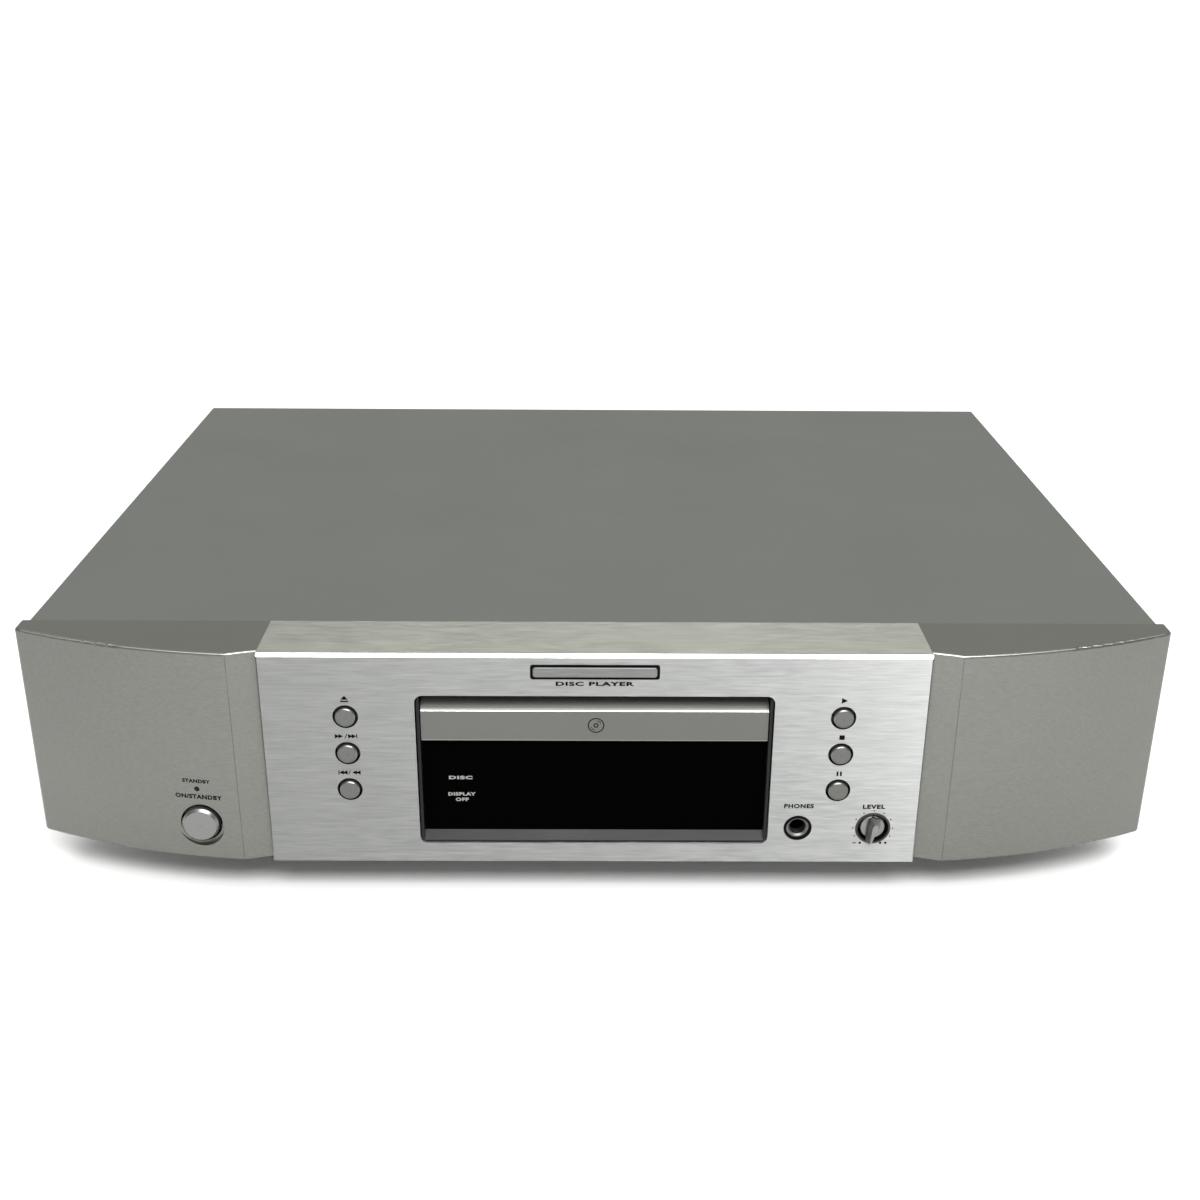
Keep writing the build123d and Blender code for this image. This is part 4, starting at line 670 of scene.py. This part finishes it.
# In millimetres. It stays below the knob's pointer, which passes 0.4 over the panel.
COLLAR_OUTER, COLLAR_INNER, COLLAR_PROUD = 6.75, 5.95, 0.3
collar("knob_collar", knob_place, COLLAR_OUTER, COLLAR_INNER, COLLAR_PROUD, COLLAR)

STRIP_FROM, STRIP_TO, STRIP_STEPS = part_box("centre_panel")[1].x / MM + 0.4, 217.0, 60
# Points (back, up) from the wing's front and its top.
STRIP_SECTION = ((-0.04, -0.50), (0.20, -0.24), (0.24, -0.30), (0.02, -0.56))
FRONT_BELOW_TOP = 0.6 * MM      # where the strip reads the wing's front
CREASE_X, CREASE_W, CREASE_SHORT = 135.5, 0.3, 2.4
WING_BASE_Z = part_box("right_wing")[0].z / MM


def wing_highlight_strip(name, node, side):
    """A painted highlight along a wing's top front edge: a thin, bright closed strip on the lower half of its
    bevel.
    """
    y_at, vertices = surface_y(node), []
    for k in range(STRIP_STEPS + 1):
        x = side * (STRIP_FROM + (STRIP_TO - STRIP_FROM) * k / STRIP_STEPS) * MM
        y = y_at(x, TOP_Z - FRONT_BELOW_TOP)
        vertices += [(x, y + out * MM, TOP_Z + up * MM) for out, up in STRIP_SECTION]
    count, rings = len(STRIP_SECTION), STRIP_STEPS + 1
    faces = join_rings(count, rings) + end_caps(count, rings)
    if side < 0:
        faces = [tuple(reversed(face)) for face in faces]
    add_piece(name, vertices, faces, WING_EDGE_HIGHLIGHT, "case")


def wing_crease_shade(name, node, side):
    """Painted shade: a fine dark line where a wing's ramp turns into its bow."""
    middle = (WING_BASE_Z + TOP_Z / MM) / 2
    print_shapes(name, [bar(CREASE_W, TOP_Z / MM - WING_BASE_Z - CREASE_SHORT)], side * CREASE_X * MM,
                 middle * MM, surface_y(node), CREASE_SHADE, "case", "wing_paint")


for wing_node, wing_side in zip(WING_NODES, (-1, 1)):
    wing_highlight_strip(wing_node + "_edge", wing_node, wing_side)
    wing_crease_shade(wing_node + "_crease", wing_node, wing_side)

PLATE_Z, PLATE_CORNER = 97.5 * MM, 1.0


def nameplate(name, width, height, proud, bevel, material):
    """One layer of the blank plate above the window: a low rounded bar with a bevelled edge."""
    vertices, levels = [], ((0.0, 0.0), (0.0, proud - bevel), (bevel, proud))
    for inset, out in levels:
        vertices += [(u * MM, FACE_Y - out * MM, PLATE_Z + w * MM)
                     for u, w in rounded_bar(width - 2 * inset, height - 2 * inset, PLATE_CORNER)]
    count = len(vertices) // len(levels)
    faces = join_rings(count, len(levels)) + end_caps(count, len(levels))
    add_piece(name, vertices, faces, material, "case")


# Painted shade: the back layer's black rim round the plate.
nameplate("nameplate_back", 47.8, 5.9, 0.25, 0.1, GAP_SHADE)
nameplate("nameplate_front", 45.8, 3.9, 0.6, 0.15, PLATE)

# ---------------------------------------------------------------- floor, light and background
FLOOR_HALF = 60.0
OVERHEAD_STRENGTH, OVERHEAD_SPREAD = 1.75, 70
# The sky. A height is the z of the direction looked in, from 0 at the horizon to 1 overhead.
SKY_FRONT, SKY_BACK = 0.40, 1.0         # brightness in front of the player and behind it
SKY_LOW, SKY_RISE = 0.70, (0.25, 0.75)  # times this low down, rising to 1 between these heights
RIM_FADE = (0.10, 0.16)                 # the bright band at the horizon fades out between these heights
PANEL_LIT = ("centre_panel", "headphone_ring", "level_knob")


def make_floor():
    mesh = bpy.data.meshes.new("floor")
    corners = [(-FLOOR_HALF, -FLOOR_HALF, 0), (FLOOR_HALF, -FLOOR_HALF, 0), (FLOOR_HALF, FLOOR_HALF, 0),
               (-FLOOR_HALF, FLOOR_HALF, 0)]
    mesh.from_pydata(corners, [], [(0, 1, 2, 3)])
    made = Finish("floor_paper", (0.90, 0.90, 0.895), 0.8)
    made.mix_colour(made.noise(2, 2), (0.88, 0.88, 0.875), 0.4)
    mesh.materials.append(made.done())
    floor = bpy.data.objects.new("floor", mesh)
    bpy.context.scene.collection.objects.link(floor)


def make_light(name, place, target, size, watts):
    """A rectangular light at a place, in metres, facing a target."""
    data = bpy.data.lights.new(name, "AREA")
    data.shape, data.size, data.size_y, data.energy = "RECTANGLE", size[0], size[1], watts
    lamp = bpy.data.objects.new(name, data)
    away = Vector(place) - Vector(target)
    lamp.matrix_world = Matrix.Translation(place) @ away.to_track_quat("Z", "Y").to_matrix().to_4x4()
    bpy.context.scene.collection.objects.link(lamp)
    return lamp


def make_sky():
    """A soft grey room, brighter behind the player than in front of it, and with a bright horizon."""
    world = bpy.data.worlds.new("world")
    world.use_nodes = True
    tree = world.node_tree

    def ramp(source, from_range, to_range):
        made = tree.nodes.new("ShaderNodeMapRange")
        made.inputs["From Min"].default_value, made.inputs["From Max"].default_value = from_range
        made.inputs["To Min"].default_value, made.inputs["To Max"].default_value = to_range
        tree.links.new(source, made.inputs["Value"])
        return made.outputs["Result"]

    def combine(operation, first, second):
        made = tree.nodes.new("ShaderNodeMath")
        made.operation = operation
        tree.links.new(first, made.inputs[0])
        tree.links.new(second, made.inputs[1])
        return made.outputs["Value"]

    background = tree.nodes["Background"]
    background.inputs["Color"].default_value = (1.0, 1.0, 0.99, 1)
    direction = tree.nodes.new("ShaderNodeTexCoord")
    parts = tree.nodes.new("ShaderNodeSeparateXYZ")
    tree.links.new(direction.outputs["Generated"], parts.inputs["Vector"])
    front_to_back = ramp(parts.outputs["Y"], (-1.0, 1.0), (SKY_FRONT, SKY_BACK))
    low_to_high = ramp(parts.outputs["Z"], SKY_RISE, (SKY_LOW, 1.0))
    rim = ramp(parts.outputs["Z"], RIM_FADE, (1.0, 0.0))
    strength = combine("MAXIMUM", combine("MULTIPLY", front_to_back, low_to_high), rim)
    tree.links.new(strength, background.inputs["Strength"])
    bpy.context.scene.world = world


def make_overhead(strength, spread):
    """Even light from straight above, so that the floor stays white to its far edge."""
    data = bpy.data.lights.new("overhead_light", "SUN")
    data.energy, data.angle = strength, math.radians(spread)
    bpy.context.scene.collection.objects.link(bpy.data.objects.new("overhead_light", data))


make_floor()
make_sky()
make_overhead(OVERHEAD_STRENGTH, OVERHEAD_SPREAD)
make_light("key_light", (-0.35, -1.7, 0.7), (0, -0.1, 0.05), (0.9, 0.6), 2)
# This light is for the panel's parts only. It stands below the panel's lip, which it would otherwise burn out
# in the views from behind.
panel_light = make_light("panel_light", (0.62, -1.45, 0.05), (0.12, -0.17, 0.05), (0.30, 0.09), 14)
panel_parts = bpy.data.collections.new("panel_parts")
for part_name in PANEL_LIT:
    panel_parts.objects.link(nodes[part_name])
panel_light.light_linking.receiver_collection = panel_parts
make_light("front_light", (0.12, -0.80, 0.85), (0.08, -0.26, 0.0), (0.8, 0.4), 12)
bpy.context.scene.view_settings.view_transform = "Standard"
